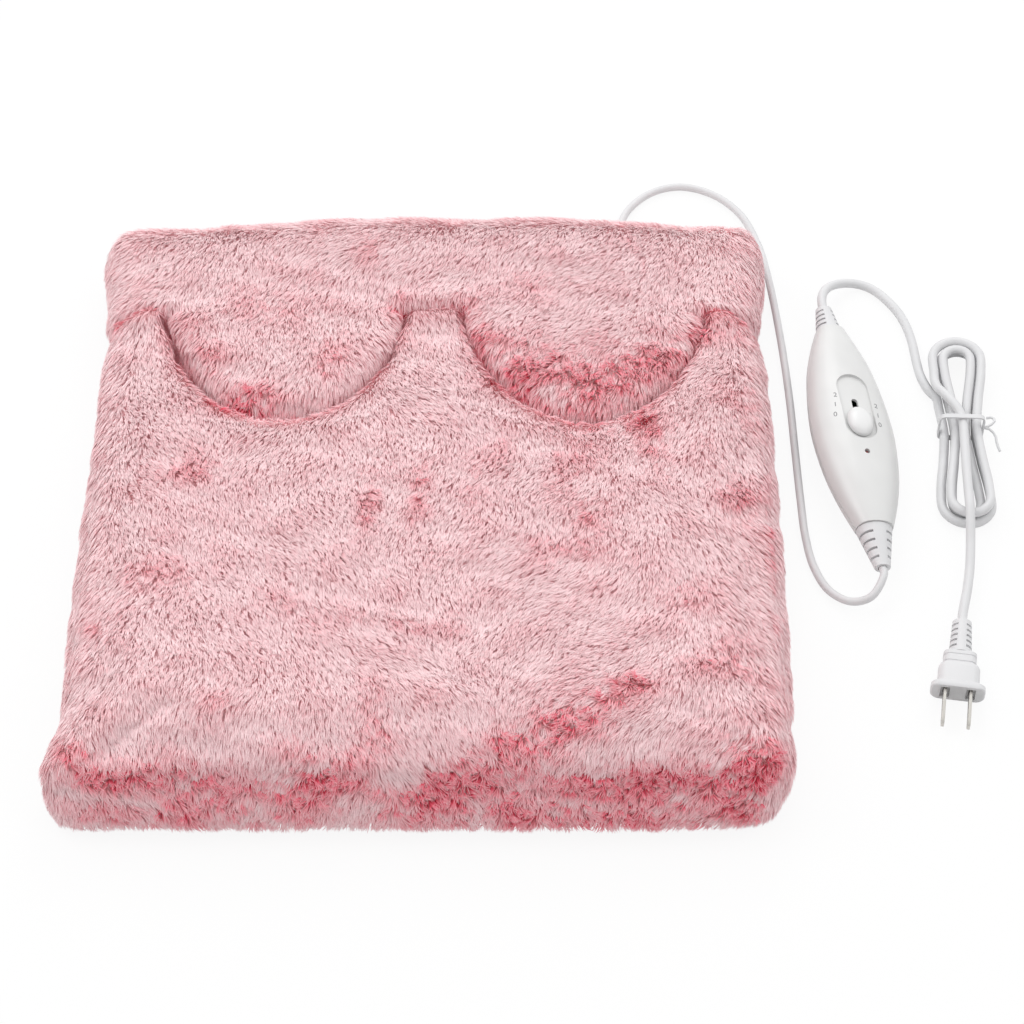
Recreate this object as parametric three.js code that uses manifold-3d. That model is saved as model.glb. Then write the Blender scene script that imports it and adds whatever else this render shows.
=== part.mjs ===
// An electric foot warmer: a long-pile pad with a pocket for both feet, the heater inside it, an
// in-line slide switch, a tied hank of mains cord and a flat two-pin plug.
// Millimetres, +Z up, +Y from the toes to the heel band, origin under the middle of the pad.
import * as THREE from 'three';
import { mergeVertices } from 'three/addons/utils/BufferGeometryUtils.js';
import Module from 'manifold-3d';

const wasm = await Module();
wasm.setup();

// Clearance between pieces that touch, and how far a cut runs past the face it opens
const GAP = 0.3;
const OVERRUN = 3;

// Pad: outline, the heel band behind the seam, and the two foot scoops in front of it
const PAD_WIDTH = 350;
const PAD_DEPTH = 362;
const CORNER_RADIUS = 24;
const BAND_DEPTH = 71;
const SCOOP = { width: 125, depth: 67, spacing: 159, roundness: 2.2, crevice: 6 };

// Pad: heights of the top above the floor
const TOE_HEIGHT = 52;
const RIM_HEIGHT = 44;
const SEAM_HEIGHT = 36;
const BAND_HEIGHT = 46;
const BAND_CORNER_HEIGHT = 38;

// Pad: thickness of each layer, and the run of the rounded edges
const UNDERSIDE = { thick: 2, inset: 4 };
const PADDING_THICK = 8;
const SHEET = { thick: 1.5, margin: 16 };
const PROTECTOR_HEIGHT = 4;
const SOLE_THICK = 5.5;
const SKIRT_THICK = 4;
const COVER_THICK = 5;
const WADDING = { thick: 4, seamThick: 2, tuck: 3 };
const LINING_THICK = 2;
const SHOULDER_RUN = 21;
const HEM_RUN = 7;
const LOBE_RUN = 13;
const SEAM_RUN = 12;

// Walls of a folded layer, from the hem up: [share of the shoulder's run, share of the rise, share
// of the layer's depth under the top]
const WALL_SHARES = [
  [0.26, 0, 0], [0.05, 0.15, 0], [0, 0.36, 0], [0.07, 0.6, 0.3], [0.33, 0.84, 0.8], [1, 0.97, 1],
];
// Rolled rear rim of a layer: [share of the hem's run, share of the thickness taken off each face]
const RIM_SHARES = [[1, 0], [0.3, 0.12], [0, 0.36]];
// Front end of a lobe: [share of its run, share of its rise above the pocket's floor]
const LOBE_SHARES = [[1, 1], [0.5, 0.86], [0.18, 0.5], [0, 0]];
const PANEL_ROW_SHARES = [0, 0.3, 0.6, 0.85];
const BAND_ROW_SHARES = [0, 0.5];
const FLOOR_ROW_SHARES = [0.5, 1];
const FIRST_ROW_SHARE = 1.5;
const SCOOP_STEPS = 9;
const CORNER_STEPS = 6;

// Heater: a flat wire in runs on a felt sheet, with a thermostat and a fuse between two runs
const WIRE = { width: 2.4, thick: 1.8, margin: 12, edge: 4, feed: 8, runs: 9, bendSteps: 6 };
const THERMOSTAT = { length: 22, width: 9, corner: 2 };
const FUSE = { length: 14, radius: 1.8, x: 26 };

// Heater lead: its place in from the pad's right side, its junction block and the sleeve it
// leaves through
const LEAD_DIAMETER = 4.2;
const LEAD_INSET = 74;
const JUNCTION = { width: 30, depth: 13, height: 12, corner: 3 };
const SLEEVE = { wall: 1.6, reach: 6, lip: 1.6, lipThick: 1.5 };
const BORE_CLEARANCE = 0.3;

// In-line controller: place, turn about the vertical, and roll about its long axis
const CONTROLLER_PLACE = { x: 223.3, y: 53.9, z: 12.6 };
const CONTROLLER_YAW = THREE.MathUtils.degToRad(6.1);
const CONTROLLER_ROLL = THREE.MathUtils.degToRad(14);
const BODY = { length: 134, halfWidth: 22.3, top: 13.6, bottom: 10.6, wall: 2.2, roundness: 2.35 };
const BODY_STATIONS = 18;
const SECTION_STEPS = 12;
// Half widths and heights along the housing, from the heater end: [share of length, share of size]
const BODY_WIDTH_SHARES = [
  [0, 0.45], [0.12, 0.7], [0.28, 0.91], [0.5, 1], [0.75, 0.83], [0.9, 0.59], [1, 0.36],
];
const BODY_HEIGHT_SHARES = [
  [0, 0.64], [0.1, 0.77], [0.25, 0.93], [0.5, 1], [0.75, 0.92], [0.9, 0.76], [1, 0.62],
];

// Slide switch: the knob, its travel, its slot and the oval recess that it rides in
const KNOB_TRAVEL = 13;
const KNOB = { length: 19.2, width: 14.3, height: 4.8, rest: -4.7 };
const KNOB_DOME_SHARES = [[0, 0.92], [0.15, 1], [0.45, 0.97], [0.75, 0.82], [0.93, 0.55]];
const KNOB_STEPS = 24;
const STEM = { length: 5, width: 2.6 };
const SLOT = { width: 3.4, clearance: 1.2 };
const RECESS = { length: 44.4, width: 17.4, centre: 5.8, depth: 2.4, floor: 1.6 };
const RECESS_STEPS = 8;
const LEVER = { length: 2, height: 5 };
const SWITCH = { wall: 1.2, height: 5.5, width: 10, sliderLength: 8, sliderHeight: 2.6 };

// Circuit board, indicator and the two screws that hold the housing together
const BOARD = { thick: 1.6, top: -1.6, length: 86, width: 24, corner: 8 };
const LED = { y: -24.8, radius: 1.25, baseRadius: 2, sunk: 0.8 };
const SCREW = { radius: 1.3, headRadius: 2.6, headHeight: 1.8, headDepth: 5, engaged: 6, boss: 1.5 };
const SCREW_PLACES = [-38, 36];
const POST_STEPS = 12;

// Strain reliefs: length, radii at base and tip, flatness, and rows of slots
const HEATER_RELIEF = { length: 24, base: 9.7, tip: 4.3, flatShare: 0.82, rows: 4 };
const MAINS_RELIEF = { length: 17.5, base: 7.2, tip: 4.4, flatShare: 0.95, rows: 4 };
const PLUG_RELIEF = { length: 20, base: 5.8, tip: 4.9, flatShare: 0.9, rows: 5 };
const RELIEF = { core: 1.1, slot: 1.3, neckWall: 1.5, lip: 0.9, lipThick: 1.6, cordInside: 6 };
const RELIEF_SLOT_ANGLE = THREE.MathUtils.degToRad(130);
const ROUND_STEPS = 20;

// Mains cord and its hank: three loops in two layers, drawn in at the waist by a tie. The lean is
// that of its top towards +X; the steps in a quarter of a loop are shared by its run and its arc.
const MAINS_DIAMETER = 5;
const CORD_SIDES = 8;
const STEP_DIAMETERS = 2.2;
const HANK_PLACE = { x: 283.4, y: 58.3 };
const HANK_LEAN = THREE.MathUtils.degToRad(1.7);
const HANK = { halfLength: 61.5, lobeRadius: 14.4, waist: 9.8, pitch: 5.7, layer: 5.6 };
const HANK_SIDES = 6;
const QUARTER_STEPS = 6;
const RUN_SHARE = 2.5 / 6;
const FIRST_STEP = -1;
const LAST_STEP = 70;
const MIDDLE_STEP = 36;
const GAP_SAMPLES = 6;

// Wire tie round the waist of the hank, and its two tails in shares of their length: [x, y, z]
const TIE = { length: 2.6, thick: 0.9, tail: 15, tailRadius: 0.8 };
const UPPER_TAIL_SHARES = [
  [-0.03, 0, 0], [0.14, 0.04, 0.04], [0.34, 0.2, 0.1], [0.3, 0.42, 0.06], [0.08, 0.44, 0],
];
const LOWER_TAIL_SHARES = [
  [-0.03, 0, 0], [0.16, -0.06, 0], [0.36, -0.3, -0.06], [0.4, -0.62, -0.12], [0.5, -0.9, -0.2],
];
const TAIL_STEPS = 6;

// Plug: a moulded body with a collar and a flange, and two flat blades in square pockets
const PLUG_PLACE = { x: 271.3, y: -66.6 };
const PLUG_YAW = THREE.MathUtils.degToRad(-8.3);
const COLLAR = { length: 6.7, width: 16.6, thick: 10.2, edge: 0.8, groove: 0.7 };
const PLUG_BODY = { length: 13.5, width: 20.6, thick: 11.4, shoulder: 3.4, narrow: 15.4 };
const PLUG_FLANGE = { length: 3.5, width: 27, thick: 12.6, edge: 0.6 };
const PLUG_CORNER_SHARE = 0.34;
const SHOULDER_SHARE = 0.72;
const BLADE = { spacing: 12.7, height: 6.4, thick: 1.5, length: 19.5, rooted: 8, taper: 2.4, tip: 3.6 };
const BLADE_POCKET = { width: 4.6, height: 8.4, depth: 2 };

// Routes of the free cords, by hand: the heater lead from the sleeve to the housing, the mains
// cord from the housing to the hank, and from the hank to the plug
const HEATER_LEAD_ROUTE = [
  [101.2, 194.5, 6.9], [103.8, 204, 3.6], [110.5, 223, 2.5], [124, 236.5, 2.5], [140.4, 241.2, 2.5],
  [158.3, 235.3, 2.5], [173, 220.5, 2.5], [181.8, 198, 2.5], [186.3, 174, 2.5], [190.9, 128, 2.5],
  [193.4, 84, 2.5], [194.3, 48, 2.5], [195.2, 15, 2.5], [196.4, -10, 2.5], [199.6, -29, 2.5],
  [206.4, -44, 2.8], [217, -52.4, 5], [226.6, -52, 8.8],
];
const MAINS_NEAR_ROUTE = [
  [214.4, 149.5, 12], [217.4, 156.4, 10.2], [223, 162, 7.4], [230.6, 165.3, 4.8], [238.6, 165, 3.2],
  [245.6, 160.8, 2.8], [251.6, 153.4, 2.8], [256.6, 145, 2.8], [260.1, 135, 2.8],
  [262.2, 124, 2.8], [263.2, 112, 2.9], [264.6, 100, 3.2], [267.6, 90, 3.7],
];
const MAINS_FAR_ROUTE = [
  [271.2, 87, 10.6], [271.8, 83, 12.4], [273.6, 78.5, 14.4], [277, 72.5, 15.4], [280.8, 65, 15.4],
  [282.2, 57, 15.4], [281.8, 44, 15.4], [281.2, 28, 15.4], [280.8, 12, 15.4], [280.6, 1, 15.2],
  [280.3, -8, 13], [279.8, -18, 9.6], [278.4, -32, 7], [275.8, -46, 6.6],
];

// Heights and places that follow from the sizes above
const halfWidth = PAD_WIDTH / 2;
const halfDepth = PAD_DEPTH / 2;
const seamY = halfDepth - BAND_DEPTH;
const rimY = seamY - SCOOP.depth;
const layerBase = UNDERSIDE.thick + GAP;
const sheetBottom = layerBase + PADDING_THICK + GAP;
const sheetTop = sheetBottom + SHEET.thick;
const soleBottom = sheetTop + GAP + PROTECTOR_HEIGHT + GAP;
const floorHeight = soleBottom + SOLE_THICK;
const liningInset = COVER_THICK + GAP + LINING_THICK;
const soleInset = WALL_SHARES[0][0] * SHOULDER_RUN + liningInset + GAP;
const hollowInset = soleInset + SKIRT_THICK;
const leadX = halfWidth - LEAD_INSET;
const sleeveBore = LEAD_DIAMETER / 2 + BORE_CLEARANCE;
const sleeveRadius = sleeveBore + SLEEVE.wall;
const leadHeight = layerBase + sleeveRadius + SLEEVE.lip;
const sleeveInside = halfDepth - hollowInset - GAP - SLEEVE.lipThick;
const junctionRear = sleeveInside - GAP;
const junctionFront = junctionRear - JUNCTION.depth;
const bodyEnd = BODY.length / 2;
const knobFloor = BODY.top - RECESS.depth;
const slotCentre = KNOB.rest + KNOB_TRAVEL / 2;
const slotLength = KNOB_TRAVEL + STEM.length + 2 * SLOT.clearance;
const sliderBottom = BOARD.top + 2 * GAP + SWITCH.wall;
const leverTop = sliderBottom + LEVER.height;
const hankHeight = TIE.thick + MAINS_DIAMETER / 2 + 2 * GAP;
const plugHeight = PLUG_FLANGE.thick / 2 + GAP;

// Geometry helpers

// Keeps positions only, shares equal vertices and turns the faces outward.
function weld(geometry) {
  const plain = geometry.index ? geometry.toNonIndexed() : geometry.clone();
  for (const name of Object.keys(plain.attributes)) {
    if (name !== 'position') plain.deleteAttribute(name);
  }
  const welded = mergeVertices(plain, 1e-4);
  const place = welded.attributes.position;
  const index = Array.from(welded.index.array);
  const triangles = [];
  let volume = 0;
  for (let i = 0; i < index.length; i += 3) {
    const corners = index.slice(i, i + 3);
    if (new Set(corners).size < 3) continue;
    const [a, b, c] = corners.map((k) => new THREE.Vector3().fromBufferAttribute(place, k));
    volume += a.dot(b.cross(c));
    triangles.push(corners);
  }
  welded.setIndex(triangles.flatMap(([a, b, c]) => (volume < 0 ? [a, c, b] : [a, b, c])));
  return welded;
}

function toSolid(geometry) {
  const welded = weld(geometry);
  return new wasm.Manifold(new wasm.Mesh({
    numProp: 3,
    vertProperties: new Float32Array(welded.attributes.position.array),
    triVerts: new Uint32Array(welded.index.array),
  }));
}

function fromSolid(solid) {
  const mesh = solid.getMesh();
  const geometry = new THREE.BufferGeometry();
  geometry.setAttribute('position', new THREE.BufferAttribute(new Float32Array(mesh.vertProperties), 3));
  geometry.setIndex(Array.from(mesh.triVerts));
  return geometry;
}

function cut(geometry, ...tools) {
  return fromSolid(tools.reduce((rest, tool) => rest.subtract(toSolid(tool)), toSolid(geometry)));
}

function join(geometry, ...others) {
  return fromSolid(others.reduce((whole, other) => whole.add(toSolid(other)), toSolid(geometry)));
}

function common(geometry, other) {
  return fromSolid(toSolid(geometry).intersect(toSolid(other)));
}

function fromTriangles(corners) {
  const geometry = new THREE.BufferGeometry();
  const values = corners.flatMap((v) => v.toArray());
  geometry.setAttribute('position', new THREE.Float32BufferAttribute(values, 3));
  return weld(geometry);
}

function quad(a, b, c, d) {
  return [a, b, c, a, c, d];
}

// The same, split along its other diagonal.
function mirroredQuad(a, b, c, d) {
  return [a, b, d, b, c, d];
}

// Joins rings of points, each as long as the last, into a closed solid with flat ends.
function loft(rings) {
  const corners = [];
  const count = rings[0].length;
  for (let r = 0; r + 1 < rings.length; r += 1) {
    for (let i = 0; i < count; i += 1) {
      const next = (i + 1) % count;
      corners.push(...quad(rings[r][i], rings[r][next], rings[r + 1][next], rings[r + 1][i]));
    }
  }
  for (const ring of [rings[0], [...rings[rings.length - 1]].reverse()]) {
    const middle = ring.reduce((sum, v) => sum.add(v), new THREE.Vector3()).divideScalar(count);
    ring.forEach((v, i) => corners.push(middle, ring[(i + 1) % count], v));
  }
  return fromTriangles(corners);
}

// Its left and right halves are split alike, so that both of its front corners are even.
function faceGrid(grid) {
  const corners = [];
  const middle = (grid.length - 1) / 2;
  for (let i = 0; i + 1 < grid.length; i += 1) {
    for (let j = 0; j + 1 < grid[i].length; j += 1) {
      const split = i < middle ? quad : mirroredQuad;
      corners.push(...split(grid[i][j], grid[i + 1][j], grid[i + 1][j + 1], grid[i][j + 1]));
    }
  }
  return corners;
}

// The border of a grid, once round, without its first corner again.
function border(grid) {
  const end = grid[0].length - 1;
  return [
    ...grid.map((line) => line[0]),
    ...grid[grid.length - 1].slice(1),
    ...grid.slice(0, -1).reverse().map((line) => line[end]),
    ...grid[0].slice(1, -1).reverse(),
  ];
}

function strip(edge, other) {
  return edge.flatMap((v, i) => {
    const next = (i + 1) % edge.length;
    return quad(v, other[i], other[next], edge[next]);
  });
}

// Closes two grids of points that lie one over the other into one solid.
function closeGrids(upper, lower) {
  const under = faceGrid(lower).reverse();
  return fromTriangles([...faceGrid(upper), ...under, ...strip(border(upper), border(lower))]);
}

function extrude(shape, depth, curveSegments = CORNER_STEPS) {
  return new THREE.ExtrudeGeometry(shape, { depth, bevelEnabled: false, curveSegments });
}

function roundedRectangle(width, depth, radius) {
  const [x, y] = [width / 2 - radius, depth / 2 - radius];
  const shape = new THREE.Shape();
  shape.absarc(x, -y, radius, -Math.PI / 2, 0);
  shape.absarc(x, y, radius, 0, Math.PI / 2);
  shape.absarc(-x, y, radius, Math.PI / 2, Math.PI);
  shape.absarc(-x, -y, radius, Math.PI, Math.PI * 1.5);
  return shape;
}

// A box between two opposite corners.
function box(low, high) {
  const size = high.map((v, i) => v - low[i]);
  return new THREE.BoxGeometry(...size).translate(...low.map((v, i) => v + size[i] / 2));
}

// A solid of revolution about Y, from [radius, y] points that start and end on the axis.
function revolve(profile, steps = ROUND_STEPS) {
  return new THREE.LatheGeometry(profile.map(([r, y]) => new THREE.Vector2(r, y)), steps);
}

// A round post along Z at a place on the Y axis.
function post(radius, low, high, y) {
  const profile = [[0, low], [radius, low], [radius, high], [0, high]];
  return revolve(profile, POST_STEPS).rotateX(Math.PI / 2).translate(0, y, 0);
}

function polygon(radius, sides) {
  const places = Array.from({ length: sides }, (_, i) => (i / sides) * 2 * Math.PI);
  return places.map((angle) => new THREE.Vector2(Math.cos(angle), Math.sin(angle)).multiplyScalar(radius));
}

// A cord along a smooth route.
function cord(route, diameter) {
  const curve = new THREE.CatmullRomCurve3(route, false, 'centripetal');
  const steps = Math.round(curve.getLength() / (diameter * STEP_DIAMETERS));
  const section = new THREE.Shape(polygon(diameter / 2, CORD_SIDES));
  return new THREE.ExtrudeGeometry(section, { steps, extrudePath: curve, bevelEnabled: false });
}

// A tube with a ring at each point, carried along without twist.
function tubeThrough(points, radius, sides) {
  const section = polygon(radius, sides);
  const normal = new THREE.Vector3(0, 0, 1);
  const rings = points.map((point, i) => {
    const ahead = points[Math.min(i + 1, points.length - 1)];
    const along = ahead.clone().sub(points[Math.max(i - 1, 0)]).normalize();
    normal.addScaledVector(along, -normal.dot(along)).normalize();
    const across = new THREE.Vector3().crossVectors(along, normal);
    return section.map((v) => point.clone().addScaledVector(across, v.x).addScaledVector(normal, v.y));
  });
  return loft(rings);
}

function lerp(a, b, share) {
  return a + (b - a) * share;
}

function smooth(share) {
  const t = THREE.MathUtils.clamp(share, 0, 1);
  return t * t * (3 - 2 * t);
}

// Pad

// Depth of a scoop or lobe at x, as a share: 1 in its middle and 0 outside it.
function scoopShare(x, width) {
  const away = Math.abs(Math.abs(x) - SCOOP.spacing / 2) / (width / 2);
  return away >= 1 ? 0 : (1 - away ** SCOOP.roundness) ** (1 / SCOOP.roundness);
}

// Columns that follow both scoops at equal angles, with one more between them.
function scoopColumns(width) {
  const angles = Array.from({ length: SCOOP_STEPS + 1 }, (_, k) => (Math.PI * k) / SCOOP_STEPS);
  const right = angles.map((angle) => SCOOP.spacing / 2 - (width / 2) * Math.cos(angle));
  return [...right.map((x) => -x).reverse(), 0, ...right];
}

// Height of the upper panel's top: highest over the toes, lower along the rim, lowest at the seam.
function panelTop(y) {
  if (y > rimY) return lerp(RIM_HEIGHT, SEAM_HEIGHT, smooth((y - rimY) / SCOOP.depth));
  return lerp(RIM_HEIGHT, TOE_HEIGHT, smooth((rimY - y) / (rimY + halfDepth - SHOULDER_RUN)));
}

function waddingAt(y) {
  return lerp(WADDING.thick, WADDING.seamThick, smooth((y - rimY) / SCOOP.depth));
}

// Height of the heel band and its lobes, crowned towards the middle.
function bandTop(x) {
  return lerp(BAND_HEIGHT, BAND_CORNER_HEIGHT, Math.abs(x / halfWidth) ** 3);
}

// Moves a point of a square corner at -Y onto the round one of a layer that lies inset.
function roundCorner(x, y, inset) {
  const radius = CORNER_RADIUS - inset;
  const [middleX, middleY] = [halfWidth - CORNER_RADIUS, halfDepth - CORNER_RADIUS];
  const [u, v] = [(Math.abs(x) - middleX) / radius, (-y - middleY) / radius];
  if (radius <= 0 || u <= 0 || v <= 0) return [x, y];
  const newX = middleX + radius * u * Math.sqrt(1 - (v * v) / 2);
  const newY = middleY + radius * v * Math.sqrt(1 - (u * u) / 2);
  return [Math.sign(x) * newX, -newY];
}

// Spreads columns and rows over the pad and folds the outer rings down into walls on the left, on
// the right and at -Y. inset moves the walls in, rows(x) lists the rows between the walls and the
// open end, topAt(x, y, row) gives the top there, and depthAt(y, row) how far the layer lies under.
function foldedGrid({ inset, columns, rows, topAt, depthAt }) {
  const rings = WALL_SHARES.map(([run, rise, sunk]) => ({ away: inset + run * SHOULDER_RUN, rise, sunk }));
  const folds = rings.length;
  const width = columns.length + 2 * folds;
  const length = folds + rows(0).length;
  return Array.from({ length: width }, (_, i) => Array.from({ length }, (__, j) => {
    const fromSide = Math.min(i, width - 1 - i);
    const ring = Math.min(fromSide, j);
    const { away, rise, sunk } = rings[ring] ?? { away: 0, rise: 1, sunk: 1 };
    const side = i < width / 2 ? -1 : 1;
    const share = (count) => (count - ring) / (folds - ring);
    const nearest = side < 0 ? columns[0] : columns[columns.length - 1];
    const x = columns[i - folds] ?? lerp(side * (halfWidth - away), nearest, share(fromSide));
    const places = rows(fromSide < folds ? nearest : x);
    const y = places[j - folds] ?? lerp(away - halfDepth, places[0], share(j));
    const row = Math.max(j - folds, 0);
    const [px, py] = roundCorner(x, y, inset);
    return new THREE.Vector3(px, py, lerp(layerBase, topAt(x, y, row), rise) - sunk * depthAt(y, row));
  }));
}

// One face of a layer of the upper panel, depth(y) under its top. Its rear rim lies tucked in, and
// closes towards the layer's other face by shares of closing(y).
function panelFace({ inset, depth, tuck, closing }) {
  const firstRow = liningInset + SHOULDER_RUN * FIRST_ROW_SHARE - halfDepth;
  const rows = (x) => {
    const rear = seamY - SCOOP.depth * scoopShare(x, SCOOP.width);
    const panel = PANEL_ROW_SHARES.map((share) => lerp(firstRow, rear - HEM_RUN, share));
    return [...panel, ...RIM_SHARES.map(([run]) => lerp(rear - tuck, rear - HEM_RUN, run))];
  };
  const depthAt = (y, row) => {
    const [, closed] = RIM_SHARES[row - PANEL_ROW_SHARES.length] ?? [0, 0];
    return depth(y) + closed * closing(y);
  };
  const topAt = (x, y) => panelTop(y);
  return foldedGrid({ inset, columns: scoopColumns(SCOOP.width), rows, topAt, depthAt });
}

// A layer of the upper panel from its outer inset and depth, and its thickness.
function panelLayer({ inset, innerInset, depth, thick, tuck, trimmed = 0 }) {
  const trim = (grid) => grid.slice(trimmed, grid.length - trimmed).map((line) => line.slice(trimmed));
  const under = (y) => depth(y) + thick(y);
  const outer = panelFace({ inset, depth, tuck, closing: thick });
  const inner = panelFace({ inset: innerInset, depth: under, tuck, closing: (y) => -thick(y) });
  return closeGrids(trim(outer), trim(inner));
}

function upperCover() {
  return panelLayer({
    inset: 0, innerInset: COVER_THICK, depth: () => 0, thick: () => COVER_THICK, tuck: 0,
  });
}

// The wadding fills the top alone, from the shoulders in.
function upperWadding() {
  const inset = COVER_THICK + GAP;
  const trimmed = WALL_SHARES.length - 2;
  const depth = () => COVER_THICK + GAP;
  return panelLayer({ inset, innerInset: inset, depth, thick: waddingAt, tuck: WADDING.tuck, trimmed });
}

function pocketLining() {
  return panelLayer({
    inset: COVER_THICK + GAP,
    innerInset: liningInset,
    depth: (y) => COVER_THICK + 2 * GAP + waddingAt(y),
    thick: () => LINING_THICK,
    tuck: GAP,
  });
}

// The heel band, its two lobes and the pocket's floor in one piece, hollow underneath for the
// padding and the heater. It is laid out with the band at -Y, then turned round and cut.
function basePlush() {
  const width = SCOOP.width - 2 * SCOOP.crevice;
  const first = SHOULDER_RUN * FIRST_ROW_SHARE - halfDepth;
  const rows = (x) => {
    const share = scoopShare(x, width);
    const edge = (SCOOP.depth - SCOOP.crevice) * share - seamY - GAP;
    const run = lerp(SEAM_RUN, LOBE_RUN, share);
    return [
      ...BAND_ROW_SHARES.map((s) => lerp(first, edge - run, s)),
      ...LOBE_SHARES.map(([s]) => edge - run * s),
      ...FLOOR_ROW_SHARES.map((s) => lerp(edge, halfDepth, s)),
    ];
  };
  const topAt = (x, y, row) => {
    const lobeRow = row - BAND_ROW_SHARES.length;
    const [, rise] = lobeRow < 0 ? [0, 1] : LOBE_SHARES[lobeRow] ?? [0, 0];
    return lerp(floorHeight, bandTop(x), rise);
  };
  const depthAt = () => 0;
  const top = foldedGrid({ inset: 0, columns: scoopColumns(width), rows, topAt, depthAt });
  const edge = border(top);
  const foot = edge.map((v) => new THREE.Vector3(v.x, v.y, layerBase));
  const middle = new THREE.Vector3(0, 0, layerBase);
  const under = foot.flatMap((v, i) => [middle, foot[(i + 1) % foot.length], v]);
  const solid = fromTriangles([...faceGrid(top), ...strip(edge, foot), ...under]).rotateZ(Math.PI);
  return cut(common(solid, soleOutline()), padHollow(), sleeveNotch());
}

// Band at its full width, and the sole in front of it inside the panel's walls.
function soleOutline() {
  const [width, depth] = [PAD_WIDTH - 2 * soleInset, PAD_DEPTH - 2 * soleInset];
  const sole = extrude(roundedRectangle(width, depth, CORNER_RADIUS - soleInset), TOE_HEIGHT);
  const reach = halfWidth + OVERRUN;
  return join(sole, box([-reach, seamY + GAP, 0], [reach, halfDepth + OVERRUN, TOE_HEIGHT]));
}

// Outline of the space inside the base, or of what fits in it with a margin.
function hollowOutline(margin) {
  const inset = 2 * (hollowInset + margin);
  return roundedRectangle(PAD_WIDTH - inset, PAD_DEPTH - inset, CORNER_RADIUS - SKIRT_THICK);
}

function padHollow() {
  return extrude(hollowOutline(0), soleBottom);
}

function sleeveNotch() {
  const reach = sleeveRadius + GAP;
  return box(
    [leadX - reach, halfDepth - hollowInset - OVERRUN, 0],
    [leadX + reach, halfDepth + OVERRUN, leadHeight + reach],
  );
}

function undersideCover() {
  const inset = 2 * UNDERSIDE.inset;
  const shape = roundedRectangle(PAD_WIDTH - inset, PAD_DEPTH - inset, CORNER_RADIUS - UNDERSIDE.inset);
  return extrude(shape, UNDERSIDE.thick);
}

function basePadding() {
  const slab = extrude(hollowOutline(GAP), PADDING_THICK).translate(0, 0, layerBase);
  const room = JUNCTION.width / 2 + GAP;
  return cut(slab, box([leadX - room, junctionFront - GAP, 0], [leadX + room, halfDepth, sheetTop]));
}

function heatingSheet() {
  return extrude(hollowOutline(SHEET.margin), SHEET.thick).translate(0, 0, sheetBottom);
}

// Pitch of the heating wire's runs, the first of them, and half the length of each.
function wireLayout() {
  const inset = hollowInset + SHEET.margin + WIRE.margin;
  const pitch = (PAD_DEPTH - 2 * inset) / (WIRE.runs - 1);
  return { pitch, first: inset - halfDepth, half: halfWidth - inset - pitch / 2 };
}

// From the junction round the edge of the sheet to the front, and back to it in runs.
function wireRoute() {
  const { pitch, first, half } = wireLayout();
  const edge = halfWidth - hollowInset - SHEET.margin - WIRE.edge;
  const rear = halfDepth - hollowInset - SHEET.margin - WIRE.edge;
  const route = [
    [leadX - WIRE.feed, junctionFront - GAP], [leadX - WIRE.feed, rear], [-edge, rear], [-edge, first],
  ].map(([x, y]) => new THREE.Vector2(x, y));
  for (let run = 0; run + 1 < WIRE.runs; run += 1) {
    const side = run % 2 ? -1 : 1;
    for (let k = 0; k <= WIRE.bendSteps; k += 1) {
      const angle = (Math.PI * k) / WIRE.bendSteps;
      const x = side * (half + (pitch / 2) * Math.sin(angle));
      route.push(new THREE.Vector2(x, first + pitch * (run + (1 - Math.cos(angle)) / 2)));
    }
  }
  const last = first + pitch * (WIRE.runs - 1);
  return [...route, new THREE.Vector2(leadX, last), new THREE.Vector2(leadX, junctionFront - GAP)];
}

// A flat wire along its route, mitred at the corners.
function heatingWire() {
  const route = wireRoute();
  const edge = (side) => route.map((point, i) => {
    const before = point.clone().sub(route[Math.max(i - 1, 0)]).normalize();
    const after = route[Math.min(i + 1, route.length - 1)].clone().sub(point).normalize();
    const along = before.clone().add(after).normalize();
    const straight = before.lengthSq() && after.lengthSq() ? along.dot(after) : 1;
    return new THREE.Vector2(-along.y, along.x).multiplyScalar((side * WIRE.width) / 2 / straight).add(point);
  });
  const shape = new THREE.Shape([...edge(1), ...edge(-1).reverse()]);
  return extrude(shape, WIRE.thick).translate(0, 0, sheetTop + GAP);
}

// Place between the two middle runs of the wire.
function protectorY() {
  const { pitch, first } = wireLayout();
  return first + pitch * (WIRE.runs / 2 - 1);
}

function thermostat() {
  const shape = roundedRectangle(THERMOSTAT.length, THERMOSTAT.width, THERMOSTAT.corner);
  return extrude(shape, PROTECTOR_HEIGHT).translate(0, protectorY(), sheetTop + GAP);
}

function thermalFuse() {
  const [r, half] = [FUSE.radius, FUSE.length / 2];
  const profile = [[0, -half], [r / 2, -half], [r, r - half], [r, half - r], [r / 2, half], [0, half]];
  const lying = revolve(profile, POST_STEPS).rotateZ(Math.PI / 2);
  return lying.translate(FUSE.x, protectorY(), sheetTop + GAP + r);
}

function leadJunction() {
  const shape = roundedRectangle(JUNCTION.width, JUNCTION.depth, JUNCTION.corner);
  const y = junctionRear - JUNCTION.depth / 2;
  return extrude(shape, JUNCTION.height).translate(leadX, y, layerBase);
}

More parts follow.
